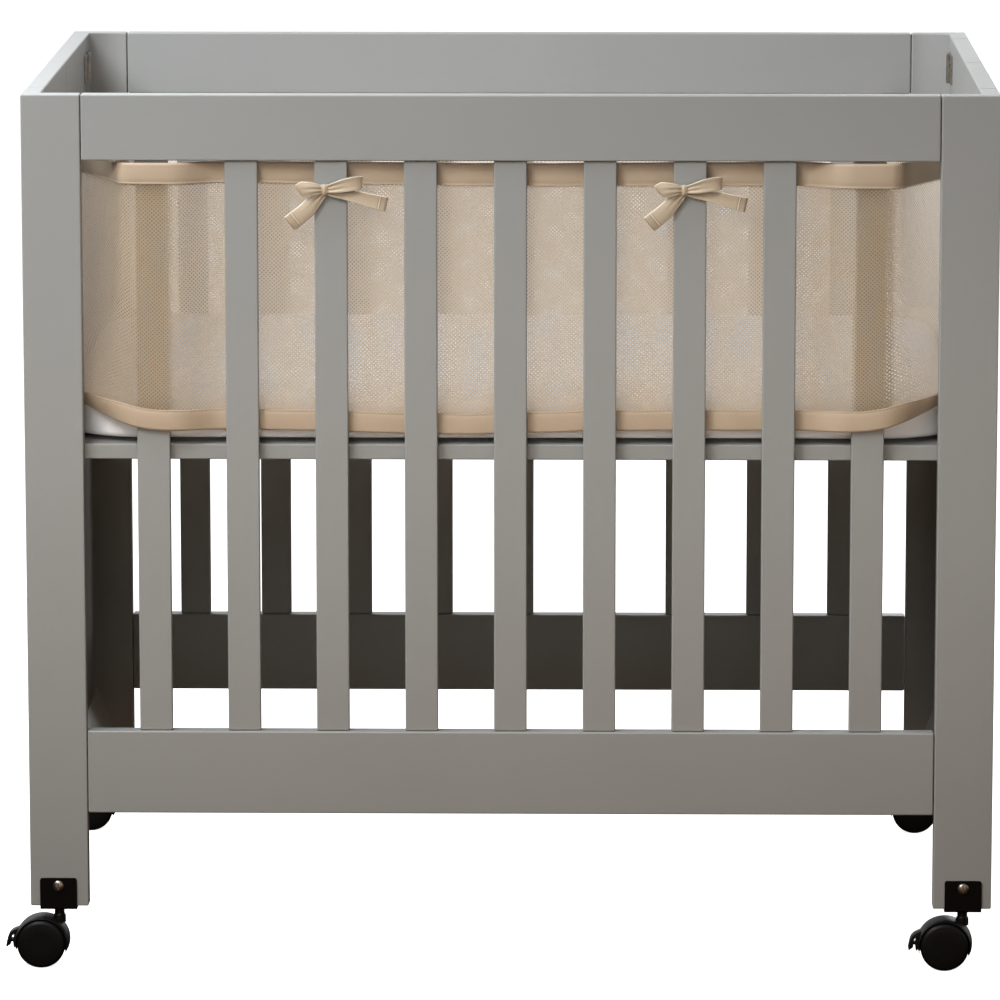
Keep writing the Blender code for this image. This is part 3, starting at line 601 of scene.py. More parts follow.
# %% Put the casters together
def make_casters():
    hood, wheels, bracket, screw = hood_mesh(), wheels_mesh(), bracket_mesh(), screw_mesh()
    for mesh, finish in ((hood, NYLON), (wheels, NYLON), (bracket, POWDER_COAT), (screw, NICKEL)):
        mesh.materials.clear()
        mesh.materials.append(finish)
    for corner in ("front_left", "front_right", "back_left", "back_right"):
        low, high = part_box(f"caster_bracket_{corner}")
        foot = Vector(((low.x + high.x) / 2, (low.y + high.y) / 2, 0))
        axle = foot + Vector((-TRAIL, 0, WHEEL_RADIUS)) / 1000
        face = 1 if corner.startswith("front") else -1
        seat = foot + Vector((0, -face * (HALF_BOARD + 2 * GAP + STEEL), SCREW_HEIGHT)) / 1000
        for kind, mesh, at, turned_round, body, slot in (
            ("hood", hood, axle, False, f"swivel_{corner}", "black_nylon"),
            ("wheels", wheels, axle, False, f"wheels_{corner}", "black_nylon"),
            ("bracket", bracket, foot, face < 0, "root", "black_plate"),
            ("screw", screw, seat, face < 0, "root", "nickel"),
        ):
            solid = f"caster_{kind}_{corner}"
            place(f"{kind}_{corner}", mesh, slot, solid, body, at, turned_round)
        print("caster", corner, "axle at", [round(c, 4) for c in axle])


make_casters()

# %% [markdown]
# ## The bumper's line
# Seen from above, the strip runs inside the seven middle slats, slips out through the end gaps, over
# the outermost slats, and back in to run along the solid ends. Its upper and lower edges differ at
# the corners, where the mattress pushes the bottom up and out. Simulating a strip that has been
# threaded through a crib is slow and hard to steer, so it is built from its plan instead: rows of
# (upper x, y, lower x, y, lift, tuck) for one quarter, in millimetres at the corner, mirrored three
# times, with a smooth curve run through them. The numbers are the same as the solid's, so the cloth
# lies where its solid is.

# %% Measures of the crib that the strip follows
CRIB_SHIFT = 0.01315  # the crib stands this far to the right, because its casters trail to the left
SLAT_PITCH, SLAT_WIDTH = 0.0909, 0.0335
MESH_HALF, WRAP_THICK, JOINT_GAP, WRAP_HALF = 0.001, 0.001, 0.0003, 0.0023
PATH_IN, PATH_OUT = 0.3081, 0.3279  # the strip's middle, inside the slats and outside them
TOP_EDGE, BOTTOM_EDGE, TOP_BAND, BOTTOM_BAND = 0.8360, 0.5600, 0.0232, 0.0215
TOP_BAND_SLOPE, END_GAP_HALF, HUG, TUCK_FADE = 0.0050, 0.003, 3.2, 0.17
GAP_BULGE, SLAT_HOLD = 0.0022, 0.0025  # swell between two slats, and flat run past a slat's edge
FRONT_SAGS = ((0.0018, 0, 0.16), (0.0045, -0.060, 0.115))  # upper and lower edge: deep, at, wide
CORNER_ROWS = (
    (-363.6, -328.5, -363.6, -328.5, 2.5, 0),
    (-380, -328, -380, -327.8, 5, 0.4),
    (-388.5, -326.8, -391, -324.8, 8, 1.8),
    (-395, -322, -402, -317.5, 11.2, 4.5),
    (-399.5, -313, -412.5, -307, 14.2, 8),
    (-409, -293, -424.5, -297, 18.5, 11),
    (-424, -264, -437, -286, 23, 13),
    (-440, -234.5, -449, -271.5, 24, 13),
    (-454.5, -206, -459.5, -252, 20, 10),
    (-464.5, -178, -464.5, -227, 14, 5.5),
    (-469.6, -148, -468.5, -194, 7.5, 2),
    (-470.8, -112, -470.6, -145, 3, 0),
    (-470.5, -60, -471, -75, 1, 0),
    (-470.8, 0, -471, 0, 0, 0),
)


# %% Rows of the strip's plan, all the way round
def quarter_rows():
    """From the middle of the front to the middle of the left end."""
    rows = [(0, -PATH_IN, 0, -PATH_IN, 0, 0)]
    edge = SLAT_WIDTH / 2 + SLAT_HOLD
    for k in range(3):
        at, to = k * SLAT_PITCH, (k + 1) * SLAT_PITCH
        middle = (k + 0.5) * SLAT_PITCH
        for x, swell in ((at + edge, 0), (middle, GAP_BULGE), (to - edge, 0), (to, 0)):
            rows.append((-x, -PATH_IN - swell, -x, -PATH_IN - swell, 0, 0))
    start, stop = 3 * SLAT_PITCH + edge, 4 * SLAT_PITCH - edge
    for t in (0, 0.25, 0.5, 0.75, 1):
        x = start + t * (stop - start)
        y = PATH_IN + t * t * (3 - 2 * t) * (PATH_OUT - PATH_IN)
        rows.append((-x, -y, -x, -y, 0.0015 * t, 0))
    return rows + [tuple(n / 1000 for n in row) for row in CORNER_ROWS]


def strip_rows():
    """Left end, back, right end, front, and round to the left end again, as an array."""
    quarter = np.array(quarter_rows(), float)
    corners = ((1, -1, -1), (-1, -1, 1), (-1, 1, -1), (1, 1, 1))  # signs of x and y, and the way
    quarters = [quarter[::way] * (sx, sy, sx, sy, 1, 1) for sx, sy, way in corners]
    rows = np.vstack([quarters[0], *(rows[1:] for rows in quarters[1:])])
    rows[0, [1, 3]], rows[-1, [1, 3]] = END_GAP_HALF, -END_GAP_HALF
    return rows


ROWS = between(strip_rows(), 5)
RUN = lengths(ROWS[:, :2])
print("strip:", len(ROWS), "stations,", round(float(RUN[-1]), 3), "m long")


# %% A point anywhere on the strip
def out_of(plan):
    """Unit normals that point out of the crib, along a plan line."""
    run = np.gradient(plan, axis=0)
    return unit(np.stack([-run[:, 1], run[:, 0]], axis=1))


def dip(x, y, deep, at, wide):
    """A sag in the front of the strip."""
    return np.where(y < -0.29, deep * np.exp(-(((x - at) / wide) ** 2)), 0)


UPPER, LOWER, TUCK = ROWS[:, :2], ROWS[:, 2:4], np.maximum(ROWS[:, 5], 0)
UPPER_Z = TOP_EDGE - dip(*UPPER.T, *FRONT_SAGS[0])
LOWER_Z = BOTTOM_EDGE - dip(*LOWER.T, *FRONT_SAGS[1]) + ROWS[:, 4]
OUT_UPPER, OUT_LOWER = out_of(UPPER), out_of(LOWER)
TALL = UPPER_Z - LOWER_Z
LOW_MOUTH = np.sqrt(BOTTOM_BAND**2 - TUCK**2) / TALL
TOP_MOUTH = 1 - (TOP_BAND + TOP_BAND_SLOPE * UPPER[:, 0]) / TALL


def on_strip(share, offset):
    """For every station, the point at this share of the height, this far out of the strip."""
    above = np.maximum(share - LOW_MOUTH, 0)
    lean = 1 - (1 - np.minimum(above / (1 - LOW_MOUTH), 1)) ** HUG
    plan = LOWER + (UPPER - LOWER) * lean[:, None]
    normal = unit(OUT_LOWER + (OUT_UPPER - OUT_LOWER) * lean[:, None])
    swell = TUCK * np.clip(share / LOW_MOUTH, 0, 1) * np.exp(-((above / TUCK_FADE) ** 2))
    plan = plan + normal * (offset + swell)[:, None]
    return np.column_stack([plan[:, 0] + CRIB_SHIFT, plan[:, 1], LOWER_Z + share * TALL])


print("height of the strip:", round(float(TALL.min()), 4), "to", round(float(TALL.max()), 4), "m")

# %% [markdown]
# ## Knitted mesh
# The panel is a polyester net, knitted with small holes on a slanting lattice, 4.3 mm apart along
# and 4 mm up. Cutting tens of thousands of holes would make a huge mesh, so the cloth is one skin
# and the holes are in its alpha: a product of two waves in the cloth's own metres, with a threshold.
# Alpha is one of the few values that may change over a surface and still be baked. Light from
# behind glows through thin yarn, so a Mix Shader gives the Translucent shader its share of the cloth,
# but not of the holes. The yarn between the holes is rounded by bump, and it is deeper in colour
# where it crosses.


# %% Mesh finish
def cloth_metres(finish):
    """The cloth's own coordinates, in metres: along it, and up or across it."""
    uv = Socket(finish.node_tree).node("UVMap", {"uv_map": "cloth"})
    return uv, uv.axis(0), uv.axis(1)


def wave(value, pitch):
    """A cosine along a value, from -1 to 1, once in each pitch."""
    return (value * (2 * math.pi / pitch)).math("COSINE")


HOLE_ALONG, HOLE_UP = 0.0043, 0.0040


def knitted_mesh():
    finish = new_finish("knitted_mesh")
    uv, along, up = cloth_metres(finish)
    drift = cloud(uv, 0.02, 1.0) * 0.0016
    lattice = wave(along + drift, HOLE_ALONG) * wave(up + drift, HOLE_UP)
    hole = lattice.rise(0.38, 0.58) * 0.8
    yarn = lattice.rise(0.4, -0.9)
    wide = cloud(uv, 0.09)
    tone = wide.pick(rgb(170, 144, 104), rgb(176, 151, 111))
    wire(
        finish,
        Base_Color=(1 - yarn).pick(tone, rgb(162, 136, 96)),
        Roughness=0.82,
        Alpha=1 - hole,
        Sheen_Weight=0.1,
        Sheen_Roughness=0.4,
        Specular_IOR_Level=0.2,
        bump=(yarn, 0.15, 0.0005),
    )
    glow = uv.node("BsdfTranslucent", None, {"Color": rgb(246, 235, 222)})
    nodes, share = uv.tree.nodes, (1 - hole) * 0.66
    surface = Socket(uv.tree, nodes["Principled BSDF"].outputs[0])
    cloth = uv.node("MixShader", None, {0: share, 1: surface, 2: glow})
    uv.tree.links.new(cloth.output, nodes["Material Output"].inputs[0])
    return finish


KNIT = knitted_mesh()
print("holes:", HOLE_ALONG * 1000, "x", HOLE_UP * 1000, "mm apart")


# %% A skin over sections, closed rings or open rows
def swept(name, rings, along, across, closed=False, open_skin=False):
    """Skins the sections into a mesh whose UV map "cloth" holds the cloth's own metres."""
    stations, count = rings.shape[:2]
    start = (np.arange(stations if closed else stations - 1) * count)[:, None]
    after = (start + count) % (stations * count)
    i = np.arange(count - open_skin)[None, :]
    j = (i + 1) % count
    faces = np.stack([start + i, start + j, after + j, after + i], axis=-1).reshape(-1, 4).tolist()
    if not (closed or open_skin):
        faces += [list(range(count))[::-1], [(stations - 1) * count + k for k in range(count)]]
    mesh = bpy.data.meshes.new(name)
    mesh.from_pydata(rings.reshape(-1, 3).tolist(), [], faces)
    bm = bmesh.new()
    bm.from_mesh(mesh)
    bmesh.ops.recalc_face_normals(bm, faces=bm.faces)
    bm.to_mesh(mesh)
    bm.free()
    corner = np.zeros(len(mesh.loops), np.int32)
    mesh.loops.foreach_get("vertex_index", corner)
    layer = mesh.uv_layers.new(name="cloth")
    flat = np.stack([along[corner // count], across[corner % count]], axis=1)
    layer.uv.foreach_set("vector", flat.astype(np.float32).ravel())
    return mesh


# %% The mesh panel
def mesh_panel():
    """One skin, in 40 rows up the strip, between the bindings' folds."""
    inset = WRAP_THICK + JOINT_GAP
    steps = np.linspace(0, 1, 41)
    low, high = inset / TALL, 1 - inset / TALL
    rings = np.stack([on_strip(low + (high - low) * t, 0.0) for t in steps], axis=1)
    return swept("bumper_mesh_cloth", rings, RUN, steps * float(TALL.mean()), open_skin=True)


panel = show("bumper_mesh_cloth", mesh_panel(), KNIT, "mesh_knit", "bumper_mesh")
print("mesh panel:", len(panel.data.polygons), "faces")

# %% [markdown]
# ## Satin bindings
# A satin tape is folded over each edge of the mesh and sewn through near its own edges. On the real
# strip the tape's turned-in edges lie almost flat on the mesh, a little paler than the rest, with a
# row of stitches just inside them. The tape could be a curve with a bevel, but its height changes
# along the strip, so its U-shaped section is placed at every station: wall, fold, wall, and back up
# inside.


# %% Satin finish
STITCH_AT, STITCH_PITCH = 0.0026, 0.0034  # from the tape's edge, and from stitch to stitch


def satin_tape():
    """Satin with fine lengthwise floats, a paler bead at the mouth and a row of stitches."""
    finish = new_finish("satin_binding")
    light, dark, pale = rgb(196, 175, 150), rgb(184, 162, 137), rgb(226, 211, 194)
    uv, along, across = cloth_metres(finish)
    floats = cloud(uv.drawn_out(0.12, 1, 1), 0.0005)
    wide = cloud(uv, 0.05)
    bead = across.rise(0.0017, 0.0009)
    row = (across - STITCH_AT).math("ABSOLUTE").rise(0.0005, 0.0002)
    stitch = row * wave(along, STITCH_PITCH).rise(-0.5, -0.1)
    body = (wide * 0.6 + floats * 0.4).rise(0.25, 0.75).pick(dark, light)
    edged = (bead * 0.12).pick(body, pale)
    return wire(
        finish,
        Base_Color=(stitch * 0.25).pick(edged, pale),
        Roughness=0.46 + floats * 0.12,
        Sheen_Weight=0.35,
        Sheen_Roughness=0.35,
        bump=(floats * 0.5 + stitch * 0.5 - row * 0.6, 0.35, 0.0003),
    )


SATIN = satin_tape()


# %% Bindings
WALL = (  # (share of the tape's height from the fold, mm out from half the fold's thickness)
    *((1, -0.4), (0.995, -0.1), (0.975, 0.1), (0.955, -0.1), (0.935, -0.1), (0.9, -0.2)),
    *((0.87, 0), (0.7, 0.2), (0.5, 0.3), (0.3, 0.2), (0.15, 0)),
)


def binding(name, at_top):
    band = (1 - TOP_MOUTH) * TALL if at_top else LOW_MOUTH * TALL
    inner = MESH_HALF + JOINT_GAP
    walls = [(share, WRAP_HALF + out / 1000) for share, out in WALL]
    rows, across = [], []

    def line(depth, offset):
        share = depth / TALL
        rows.append(on_strip(1 - share if at_top else share, offset))
        across.append(float((band - depth).mean()))

    for f, offset in walls:
        line(band * f, offset)
    for t in np.linspace(0, math.pi, 7):
        line(WRAP_HALF * (1 - math.sin(t)), WRAP_HALF * math.cos(t))
    for f, offset in walls[::-1]:
        line(band * f, -offset)
    for depth in (band, band * 0.6, WRAP_THICK):
        line(depth, -inner)
    for depth in (WRAP_THICK, band * 0.6, band):
        line(depth, inner)
    mesh = swept(name, np.stack(rows, axis=1), RUN, np.array(across))
    solid = "binding_top" if at_top else "binding_bottom"
    return show(name, mesh, SATIN, "satin_binding", solid)


bindings = [binding("binding_top_tape", True), binding("binding_bottom_tape", False)]
print("bindings:", [len(b.data.polygons) for b in bindings], "faces")

# %% [markdown]
# ## Ribbon ties
# Each tie is a satin ribbon sewn to the binding. It goes round a slat and is tied in a bow: two
# loops, two tails and the knot. A bow could be simulated, but the photograph fixes where each fold
# lies, so every ribbon here follows rows of (x, depth, z, half-width x, half-width z) in
# millimetres, seen from the front, with a smooth curve run through them. The ribbon curls a little
# across its width and is pleated where the knot grips it.

# %% Ribbon finish
HEM_AT = 0.0080  # the hem's seam, from a tail's end


def ribbon_satin():
    finish = new_finish("ribbon_satin")
    uv, along, across = cloth_metres(finish)
    place = place_of(finish)
    floats = cloud(place, 0.0005)
    # painted highlight: both selvedges are painted pale as if they caught the light; the same mask
    # raises them in the bump
    highlit_selvedge = across.math("ABSOLUTE").rise(0.84, 0.96)
    from_seam = (along - HEM_AT).math("ABSOLUTE")
    hem = from_seam.rise(0.0007, 0.0003)
    # painted shade: the creases on either side of the hem's seam are painted darker
    crease = from_seam.rise(0.0020, 0.0012) - hem
    turned_in = along.rise(0.0078, 0.0068) * 0.35
    body = floats.rise(0.3, 0.7).pick(rgb(186, 166, 140), rgb(200, 182, 157))
    # darker on the doubled, turned-in end, and painted shade in the creases beside the seam
    doubled_and_crease_shade = (turned_in + crease * 0.6).pick(body, rgb(150, 130, 105))
    # painted highlight along the selvedges
    edged = (highlit_selvedge * 0.75).pick(doubled_and_crease_shade, rgb(240, 229, 213))
    return wire(
        finish,
        Base_Color=(hem * 0.8).pick(edged, rgb(232, 219, 202)),
        Roughness=0.42 + floats * 0.14,
        Sheen_Weight=0.4,
        Sheen_Roughness=0.3,
        bump=(floats * 0.6 + highlit_selvedge - crease, 0.35, 0.0003),
    )


RIBBON = ribbon_satin()

# %% Where the ribbons run
RIGHT_LOOP = (
    (1, 5, 0, 0, 3.8),
    (10, 7.8, 2.2, -0.6, 5.5),
    (21, 8.8, 5, -1, 6.8),
    (31, 7.8, 6.8, -0.8, 7),
    (36.8, 4.8, 7.4, 0, 6.2),
    (37.2, 2, 7.4, 0.4, 6),
    (31, 1.4, 6.2, 0, 6.4),
    (20, 1.3, 4, 0, 5.8),
    (9, 1.4, 1.6, 0, 4.8),
    (0.5, 1.8, 0, 0, 3.6),
)
LEFT_LOOP = (
    (-1, 5, 0, 0, 3.8),
    (-8, 8.4, 1, -1, 5.6),
    (-16, 9.4, 1, -2.4, 7.2),
    (-23.2, 7.6, 0.8, -1.6, 7.4),
    (-27.2, 4.6, -0.4, -3.6, 4.6),
    (-25.6, 1.8, -0.2, -2.2, 6.2),
    (-20, 1.3, 0.6, -2.4, 6.2),
    (-11, 1.3, 0.4, -1, 5.4),
    (-0.5, 1.8, 0, 0, 3.6),
)
RIGHT_TAIL = (
    (0, 3.6, -1, 0.6, 3.4),
    (9, 3, -3.4, 1.2, 4.4),
    (20, 2.8, -5.2, 1.8, 5),
    (33, 3, -7.8, 2.2, 6),
    (46, 3.4, -11.2, 2.4, 6.8),
    (62.8, 3, -15, 2.7, 7.3),
)
LEFT_TAIL = (
    (0, 3.6, -1.2, -3, 2.2),
    (-5, 3, -6.6, -4.6, 3),
    (-12.2, 3, -13.8, -6, 4.4),
    (-19, 3.6, -21.4, -6.4, 5.4),
    (-27.5, 3.6, -28.4, -5.8, 6.4),
    (-35.8, 3, -35.2, -5, 7.2),
)
RIBBON_HALF = 0.00035
KNOT_RADIUS, KNOT_HALF, KNOT_OUT = 0.0034, 0.0056, 0.0046
PLAIN = 0.05  # a run that starts this far along has no hem
RIBBONS = (  # (rows, height of the curl, whether it is a loop)
    *((RIGHT_LOOP, 0.0009, True), (LEFT_LOOP, 0.0009, True)),
    *((RIGHT_TAIL, 0.0009, False), (LEFT_TAIL, 0.0012, False)),
)
PLEAT, PLEAT_NEAR, PLEAT_BACK = 0.0008, 0.016, 0.012  # height, and reach from the knot both ways


# %% One ribbon
def half_thick(s):
    """Half the ribbon's thickness at a share of its half-width: it rounds off at the selvedges."""
    return RIBBON_HALF * math.sqrt(max(1 - abs(s) ** 8, 0.05))


def round_section(count):
    """(share across, side) round a flat section: over its face, and back along the other."""
    return [(s, side) for side in (1, -1) for s in np.linspace(-1, 1, count)[::side]]


def ribbon_rings(rows, curl, loop):
    """Sections of a ribbon along its rows, curled across and pleated near the knot."""
    line = between(rows, 6) / 1000
    middle = np.column_stack([line[:, 0], -line[:, 1], line[:, 2]])
    run = unit(np.gradient(middle, axis=0))
    wide = np.column_stack([line[:, 3], np.zeros(len(line)), line[:, 4]])
    wide -= run * (wide * run).sum(1)[:, None]
    up, far = unit(np.cross(run, wide)), lengths(middle)
    near_knot = np.exp(-((far / PLEAT_NEAR) ** 2))
    if loop:  # it comes back to the knot
        near_knot = near_knot + np.exp(-(((far[-1] - far) / PLEAT_BACK) ** 2))
    rings, section = [], round_section(13)
    for s, side in section:
        pleat = np.cos(2.6 * math.pi * (s - 0.1) + far * 60)
        lift = curl * (s * s - 0.4) + PLEAT * near_knot * pleat
        rings.append(middle + wide * s + up * (lift + side * half_thick(s))[:, None])
    return np.stack(rings, axis=1), far, np.array(section)[:, 0]


def knot_rings():
    """The wrap at the middle: a small pleated barrel of pulled ribbon."""
    rings = []
    turn = np.linspace(0, 2 * math.pi, 40, endpoint=False)
    for level in np.linspace(-1, 1, 15):
        pleat = 1 + 0.09 * np.cos(7 * turn + 1.2 * level) * (1 - level * level * 0.5)
        radius = KNOT_RADIUS * (1 - 0.55 * abs(level) ** 3.2) * pleat
        height = np.full(len(turn), KNOT_HALF * level)
        rings.append(np.column_stack([radius * np.sin(turn), -KNOT_OUT - radius * np.cos(turn), height]))
    return np.stack(rings), np.linspace(0.03, 0.04, 15), np.linspace(-0.6, 0.6, 40)


def one_mesh(name, meshes):
    """Several meshes as one, with their UV maps."""
    bm = bmesh.new()
    for mesh in meshes:
        bm.from_mesh(mesh)
    return mesh_of(bm, name)


def bow_mesh():
    runs = []
    for rows, curl, loop in RIBBONS:
        rings, far, across = ribbon_rings(rows, curl, loop)
        along = far + PLAIN if loop else far[-1] - far
        runs.append(swept("run", rings, along, across))
    rings, along, across = knot_rings()
    runs.append(swept("knot", rings, along, across))
    return one_mesh("bow", runs)


# %% Straps and bows
KNOT_HEIGHT, KNOT_SIDE, SLAT_OUT, STRAP_HALF = 0.8092, -0.0058, 0.3235, 0.0045
STRAP_OUT, STRAP_SIDE, STRAP_CORNER = 0.0020, 0.0024, 0.003  # off front and edges, and rounding
SIGNS = ((1, 1), (-1, 1), (-1, -1), (1, -1))  # of x and y in the four corners of an outline


def strap_mesh():
    """The ribbon round the slat, from the binding behind it to the knot in front."""
    half_x, corner = SLAT_WIDTH / 2 + STRAP_SIDE, STRAP_CORNER
    back, front = -(PATH_IN + WRAP_HALF + JOINT_GAP), -(SLAT_OUT + STRAP_OUT)
    outline, rings = [], []
    for quarter, (sx, sy) in enumerate(SIGNS):
        for t in np.linspace(0, math.pi / 2, 6):
            turn = quarter * math.pi / 2 + t
            cx, cy = sx * (half_x - corner), (back - corner if sy > 0 else front + corner)
            outline.append((cx, cy, math.cos(turn), math.sin(turn)))
    section = round_section(7)
    for cx, cy, nx, ny in outline:
        outs = [(corner - 0.0005 + side * half_thick(s), STRAP_HALF * s) for s, side in section]
        rings.append([(cx + nx * out, cy + ny * out, up) for out, up in outs])
    rings, across = np.array(rings), np.array(section)[:, 0]
    return swept("strap", rings, lengths(rings[:, 0]) + PLAIN, across, closed=True)


def make_ties():
    made = []
    bow, strap = bow_mesh(), strap_mesh()
    for mesh in (bow, strap):
        mesh.materials.append(RIBBON)
        mesh.shade_smooth()
    for side, slat in (("left", -2), ("right", 2)):
        x = slat * SLAT_PITCH + CRIB_SHIFT
        front = -(SLAT_OUT + STRAP_OUT + JOINT_GAP)
        for name, mesh, at in (
            ("bow", bow, (x + KNOT_SIDE, front, KNOT_HEIGHT)),
            ("strap", strap, (x, 0, KNOT_HEIGHT)),
        ):
            made.append(place(f"{name}_{side}", mesh, "tie_ribbon", f"tie_{name}_{side}", at=at))
    return made


ties = make_ties()

# %% [markdown]
# ## Mattress and its sheet
# The mattress is a firm pad, 49 mm thick, in a white fitted sheet whose elastic pulls it under the
# edges. A cloth simulation with pressure would swell it into a cushion, and a crib mattress is flat
# and tight, so its form is built from rounded outlines: a small crown on top, edges that round over,
# and the sheet's soft pulls, which run in from the corners where the sheet is gathered. Its lower
# edge stands off the board, which gives the dark line under the sheet.


# %% Cotton finish
THREAD = 0.0006  # from thread to thread


def sheet_cotton():
    finish = new_finish("white_percale")
    place = place_of(finish)
    weave = wave(place.axis(0), THREAD) * wave(place.axis(1), THREAD)
    slub = cloud(place.drawn_out(0.1, 1, 1), 0.0012)
    wide = cloud(place, 0.12, 3.0)
    return wire(
        finish,
        Base_Color=wide.pick(rgb(228, 228, 231), rgb(238, 238, 240)),
        Roughness=0.88,
        Sheen_Weight=0.15,
        bump=(weave * 0.4 + slub, 0.35, 0.0002),
    )


COTTON = sheet_cotton()

# %% Mattress
MATTRESS_LOW, MATTRESS_TOP, HALF_X, HALF_Y = 0.5453, 0.594, 0.4605, 0.3005
CORNER, EASE, EASE_LOW = 0.082, 0.018, 0.006  # roundings: in plan, along the top, along the foot
EDGE_LIFT = 0.0045  # the elastic pulls the sheet in under the edge, which stands off the board
CROWN, SOFT, PULL = 0.0035, 0.0012, 0.0010  # heights of the crown, the softness and the pulls
PULL_REACH, UNDER = 0.16, 0.034  # how far the pulls run in, and where the underside leaves the board


def rounded_outline(half_x, half_y, radius):
    """Points of a rounded rectangle: 48 to each corner, and 24 along each side."""
    points = []
    for quarter, (sx, sy) in enumerate(SIGNS):
        turns = quarter * math.pi / 2 + np.linspace(0, math.pi / 2, 48)
        x = sx * (half_x - radius) + radius * np.cos(turns)
        y = sy * (half_y - radius) + radius * np.sin(turns)
        points.append(np.column_stack([x, y]))
    full = []
    for k in range(4):
        start, stop = points[k][-1], points[(k + 1) % 4][0]
        full += [points[k], start + (stop - start) * np.linspace(0, 1, 26)[1:-1, None]]
    return np.vstack(full)


def mattress_mesh():
    rings = []
    steps = [(UNDER, MATTRESS_LOW, 0), (UNDER - 0.006, MATTRESS_LOW + 0.8 * EDGE_LIFT, 0)]
    for t in np.linspace(0, math.pi / 2, 8):
        level = MATTRESS_LOW + EDGE_LIFT + EASE_LOW * (1 - math.cos(t))
        steps.append((EASE_LOW * (1 - math.sin(t)), level, 0))
    for t in np.linspace(0, math.pi / 2, 10):
        steps.append((EASE * (1 - math.cos(t)), MATTRESS_TOP - EASE * (1 - math.sin(t)), 0))
    for t in np.linspace(0, 1, 26)[1:]:
        steps.append((EASE + t * (HALF_Y - EASE - 0.004), MATTRESS_TOP, t))
    for inset, level, t in steps:
        radius = max(CORNER - inset, 0.02 * (1 - t) + 0.001)
        ring = rounded_outline(HALF_X - inset, HALF_Y - inset, min(radius, HALF_Y - inset - 0.0005))
        z = np.full(len(ring), level)
        dx, dy = HALF_X - np.abs(ring[:, 0]), HALF_Y - np.abs(ring[:, 1])
        corner, turn = np.hypot(dx, dy), np.arctan2(dy, dx)
        pull = np.exp(-((corner / PULL_REACH) ** 2)) * np.cos(turn * 21 + 2 * np.sin(turn * 5))
        if level > MATTRESS_LOW + EASE:
            share = min(1.0, (level - MATTRESS_LOW - EASE) / (MATTRESS_TOP - MATTRESS_LOW - EASE))
            soft = np.array([noise.noise(Vector((x * 7, y * 11, 3.1))) for x, y in ring])
            crown = CROWN * math.sin(t * math.pi / 2)
            z += share * (PULL * pull + SOFT * soft * min(1, 6 * t) + crown)
        rings.append(np.column_stack([ring, z]))
    rings = np.stack(rings)
    rings[:, :, 0] += CRIB_SHIFT
    along, across = (np.arange(n) * 0.01 for n in rings.shape[:2])
    return swept("mattress_sheeted", rings, along, across)


mattress = show("mattress_sheeted", mattress_mesh(), COTTON, "sheet_cotton", "mattress")
print("mattress:", len(mattress.data.polygons), "faces")

# %% [markdown]
# ## Floor, light and camera
# The photograph was taken in a plain white studio, and its white was kept free of shadows. So the
# pale floor glows a little, and no light from it reaches the crib. Nine soft lamps do the work: the
# key high on the left, two weak fills and a narrow strip in front, one at the left side, one behind
# that shines through the mesh, a warm one near the floor, and one each for the back and the right
# end. The world is white to the camera, a dim ceiling to the crib, and a pale band to whatever
# mirrors the back of the room. The camera stands far away with a long lens, a little right of the
# middle, turned and tilted so that the crib's corners fall where the photograph has them.


# %% Floor
def make_floor():
    bm = bmesh.new()
    bmesh.ops.create_grid(bm, x_segments=8, y_segments=8, size=40)
    finish = new_finish("studio_floor")
    place = place_of(finish)
    wide = cloud(place, 1.4)
    wire(
        finish,
        Base_Color=wide.pick(rgb(240, 239, 237), rgb(246, 245, 243)),
        Roughness=0.9,
        Emission_Color=(1.0, 1.0, 1.0, 1.0),
        Emission_Strength=0.9,
    )
    mesh = mesh_of(bm, "floor")
    mesh.materials.append(finish)
    floor = add("floor", mesh)
    floor.visible_diffuse = floor.visible_glossy = False


make_floor()


# %% Lights
def soft_light(name, place, aim, size, power, colour=(1, 1, 1), spread=180):
    lamp = bpy.data.lights.new(name, "AREA")
    lamp.shape, (lamp.size, lamp.size_y) = "RECTANGLE", size
    lamp.energy, lamp.color, lamp.spread = power, colour, math.radians(spread)
    light = add(name, lamp)
    light.location = place
    light.rotation_euler = (Vector(aim) - Vector(place)).to_track_quat("-Z", "Y").to_euler()


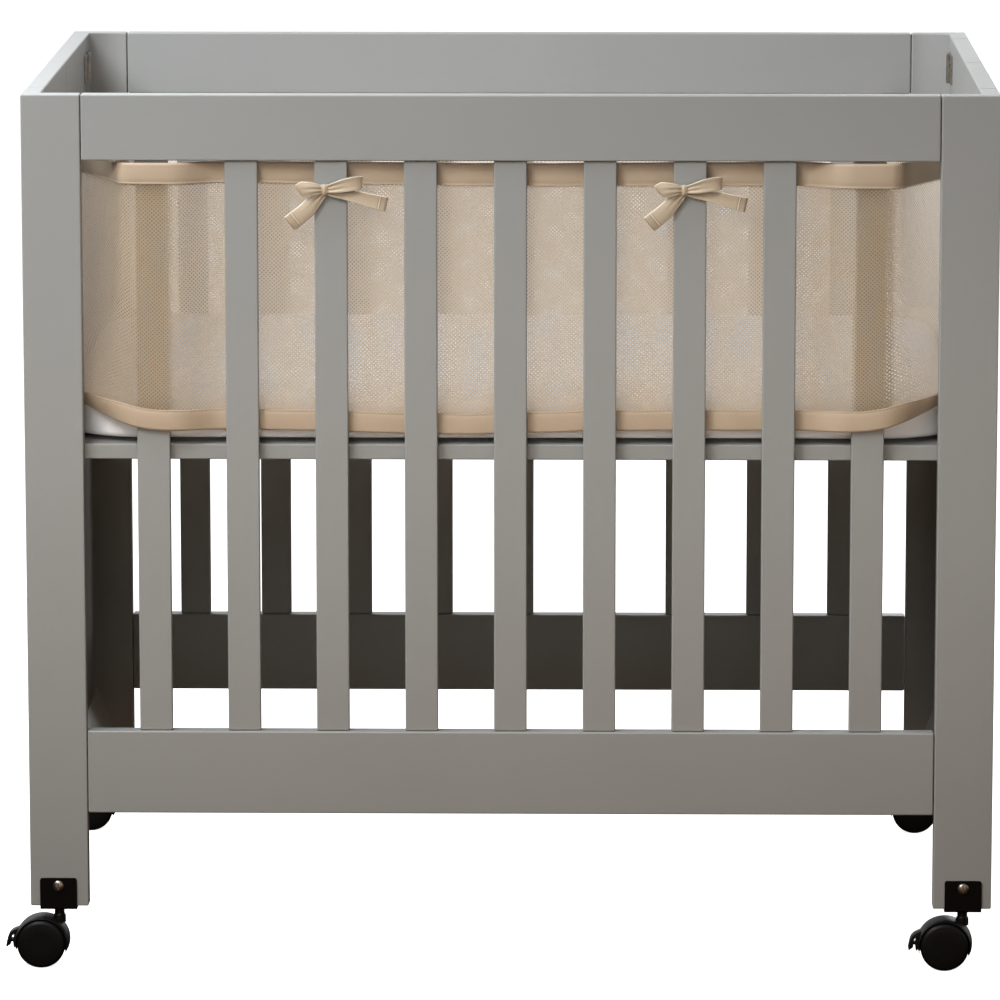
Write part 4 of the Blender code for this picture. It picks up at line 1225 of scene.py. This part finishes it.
LAMPS = (  # name, place, aim, (width, height), watts, colour, spread in degrees
    ("key", (-1.2, -2.1, 2.4), (-0.05, -0.3, 0.8), (0.9, 0.9), 40),
    ("front_fill", (-0.5, -2.4, 1.6), (0, -0.3, 0.6), (1.0, 1.0), 13),
    ("front_low", (1.2, -2.1, 1.0), (0.1, -0.3, 0.6), (0.9, 0.9), 2, (1.0, 0.85, 0.68)),
    ("low_strip", (-0.2, -2.2, 0.5), (-0.2, -0.3, 0.55), (1.8, 0.3), 0.48, (1.0, 0.94, 0.84), 30),
    ("side", (-1.1, -0.45, 2.0), (0.15, 0.1, 0.75), (0.8, 0.8), 23, (0.86, 0.93, 1.0)),
    ("behind", (-0.9, 1.9, 2.6), (0.1, -0.1, 0.7), (0.9, 0.9), 26),
    ("back_fill", (0.9, 2.3, 0.9), (0.1, 0.3, 0.5), (1.0, 1.0), 8),
    ("floor_bounce", (0, -1.0, 0.16), (0, -0.33, 0.2), (1.5, 0.25), 0.8, (1.0, 0.62, 0.3)),
    ("right_end", (2.4, 0.2, 0.75), (0.5, 0.05, 0.55), (1.0, 1.0), 13),
)
for lamp in LAMPS:
    soft_light(*lamp)
print("lamps:", len(LAMPS))


# %% World
world = bpy.data.worlds.new("studio")
world.use_nodes = True
sky = Socket(world.node_tree)
toward = sky.node("TexCoord", out="Generated")
behind, height = toward.axis(1), toward.axis(2)
ceiling = height.rise(0.35, 0.95).pick((0.03, 0.018, 0.01, 1.0), (0.45, 0.46, 0.48, 1.0))
band = height.rise(0.7, 0.4) * height.rise(-0.02, 0.04)
mirrored = sky.node("LightPath", out="Is Glossy Ray") * behind.rise(0.3, 0.6) * band
looked_at = sky.node("LightPath", out="Is Camera Ray")
studio = looked_at.pick(mirrored.pick(ceiling, (1.2, 1.2, 1.2, 1.0)), (1.0, 1.0, 1.0, 1.0))
world.node_tree.links.new(studio.output, world.node_tree.nodes["Background"].inputs[0])
bpy.context.scene.world = world
bpy.context.scene.view_settings.view_transform = "Standard"


# %% Camera
def make_camera():
    """The place, angles and lens that lay the object's corners on the photograph's."""
    yaw, down, roll = 0.0164, 0.17219, -0.00029
    cam = bpy.data.cameras.new("camera")
    cam.sensor_width, cam.clip_end = 36.0, 200
    cam.lens = 6286.62 / 1000 * cam.sensor_width  # 6286.62 pixels, in a picture 1000 wide
    camera = add("camera", cam)
    camera.location = (0.1062, -6.63976, 1.58878)
    turn, tilt = Matrix.Rotation(yaw, 3, "Z"), Matrix.Rotation(math.pi / 2 - down, 3, "X")
    camera.rotation_euler = (turn @ tilt @ Matrix.Rotation(roll, 3, "Z")).to_euler()
    bpy.context.scene.camera = camera
    print("lens:", round(cam.lens, 1), "mm")


make_camera()
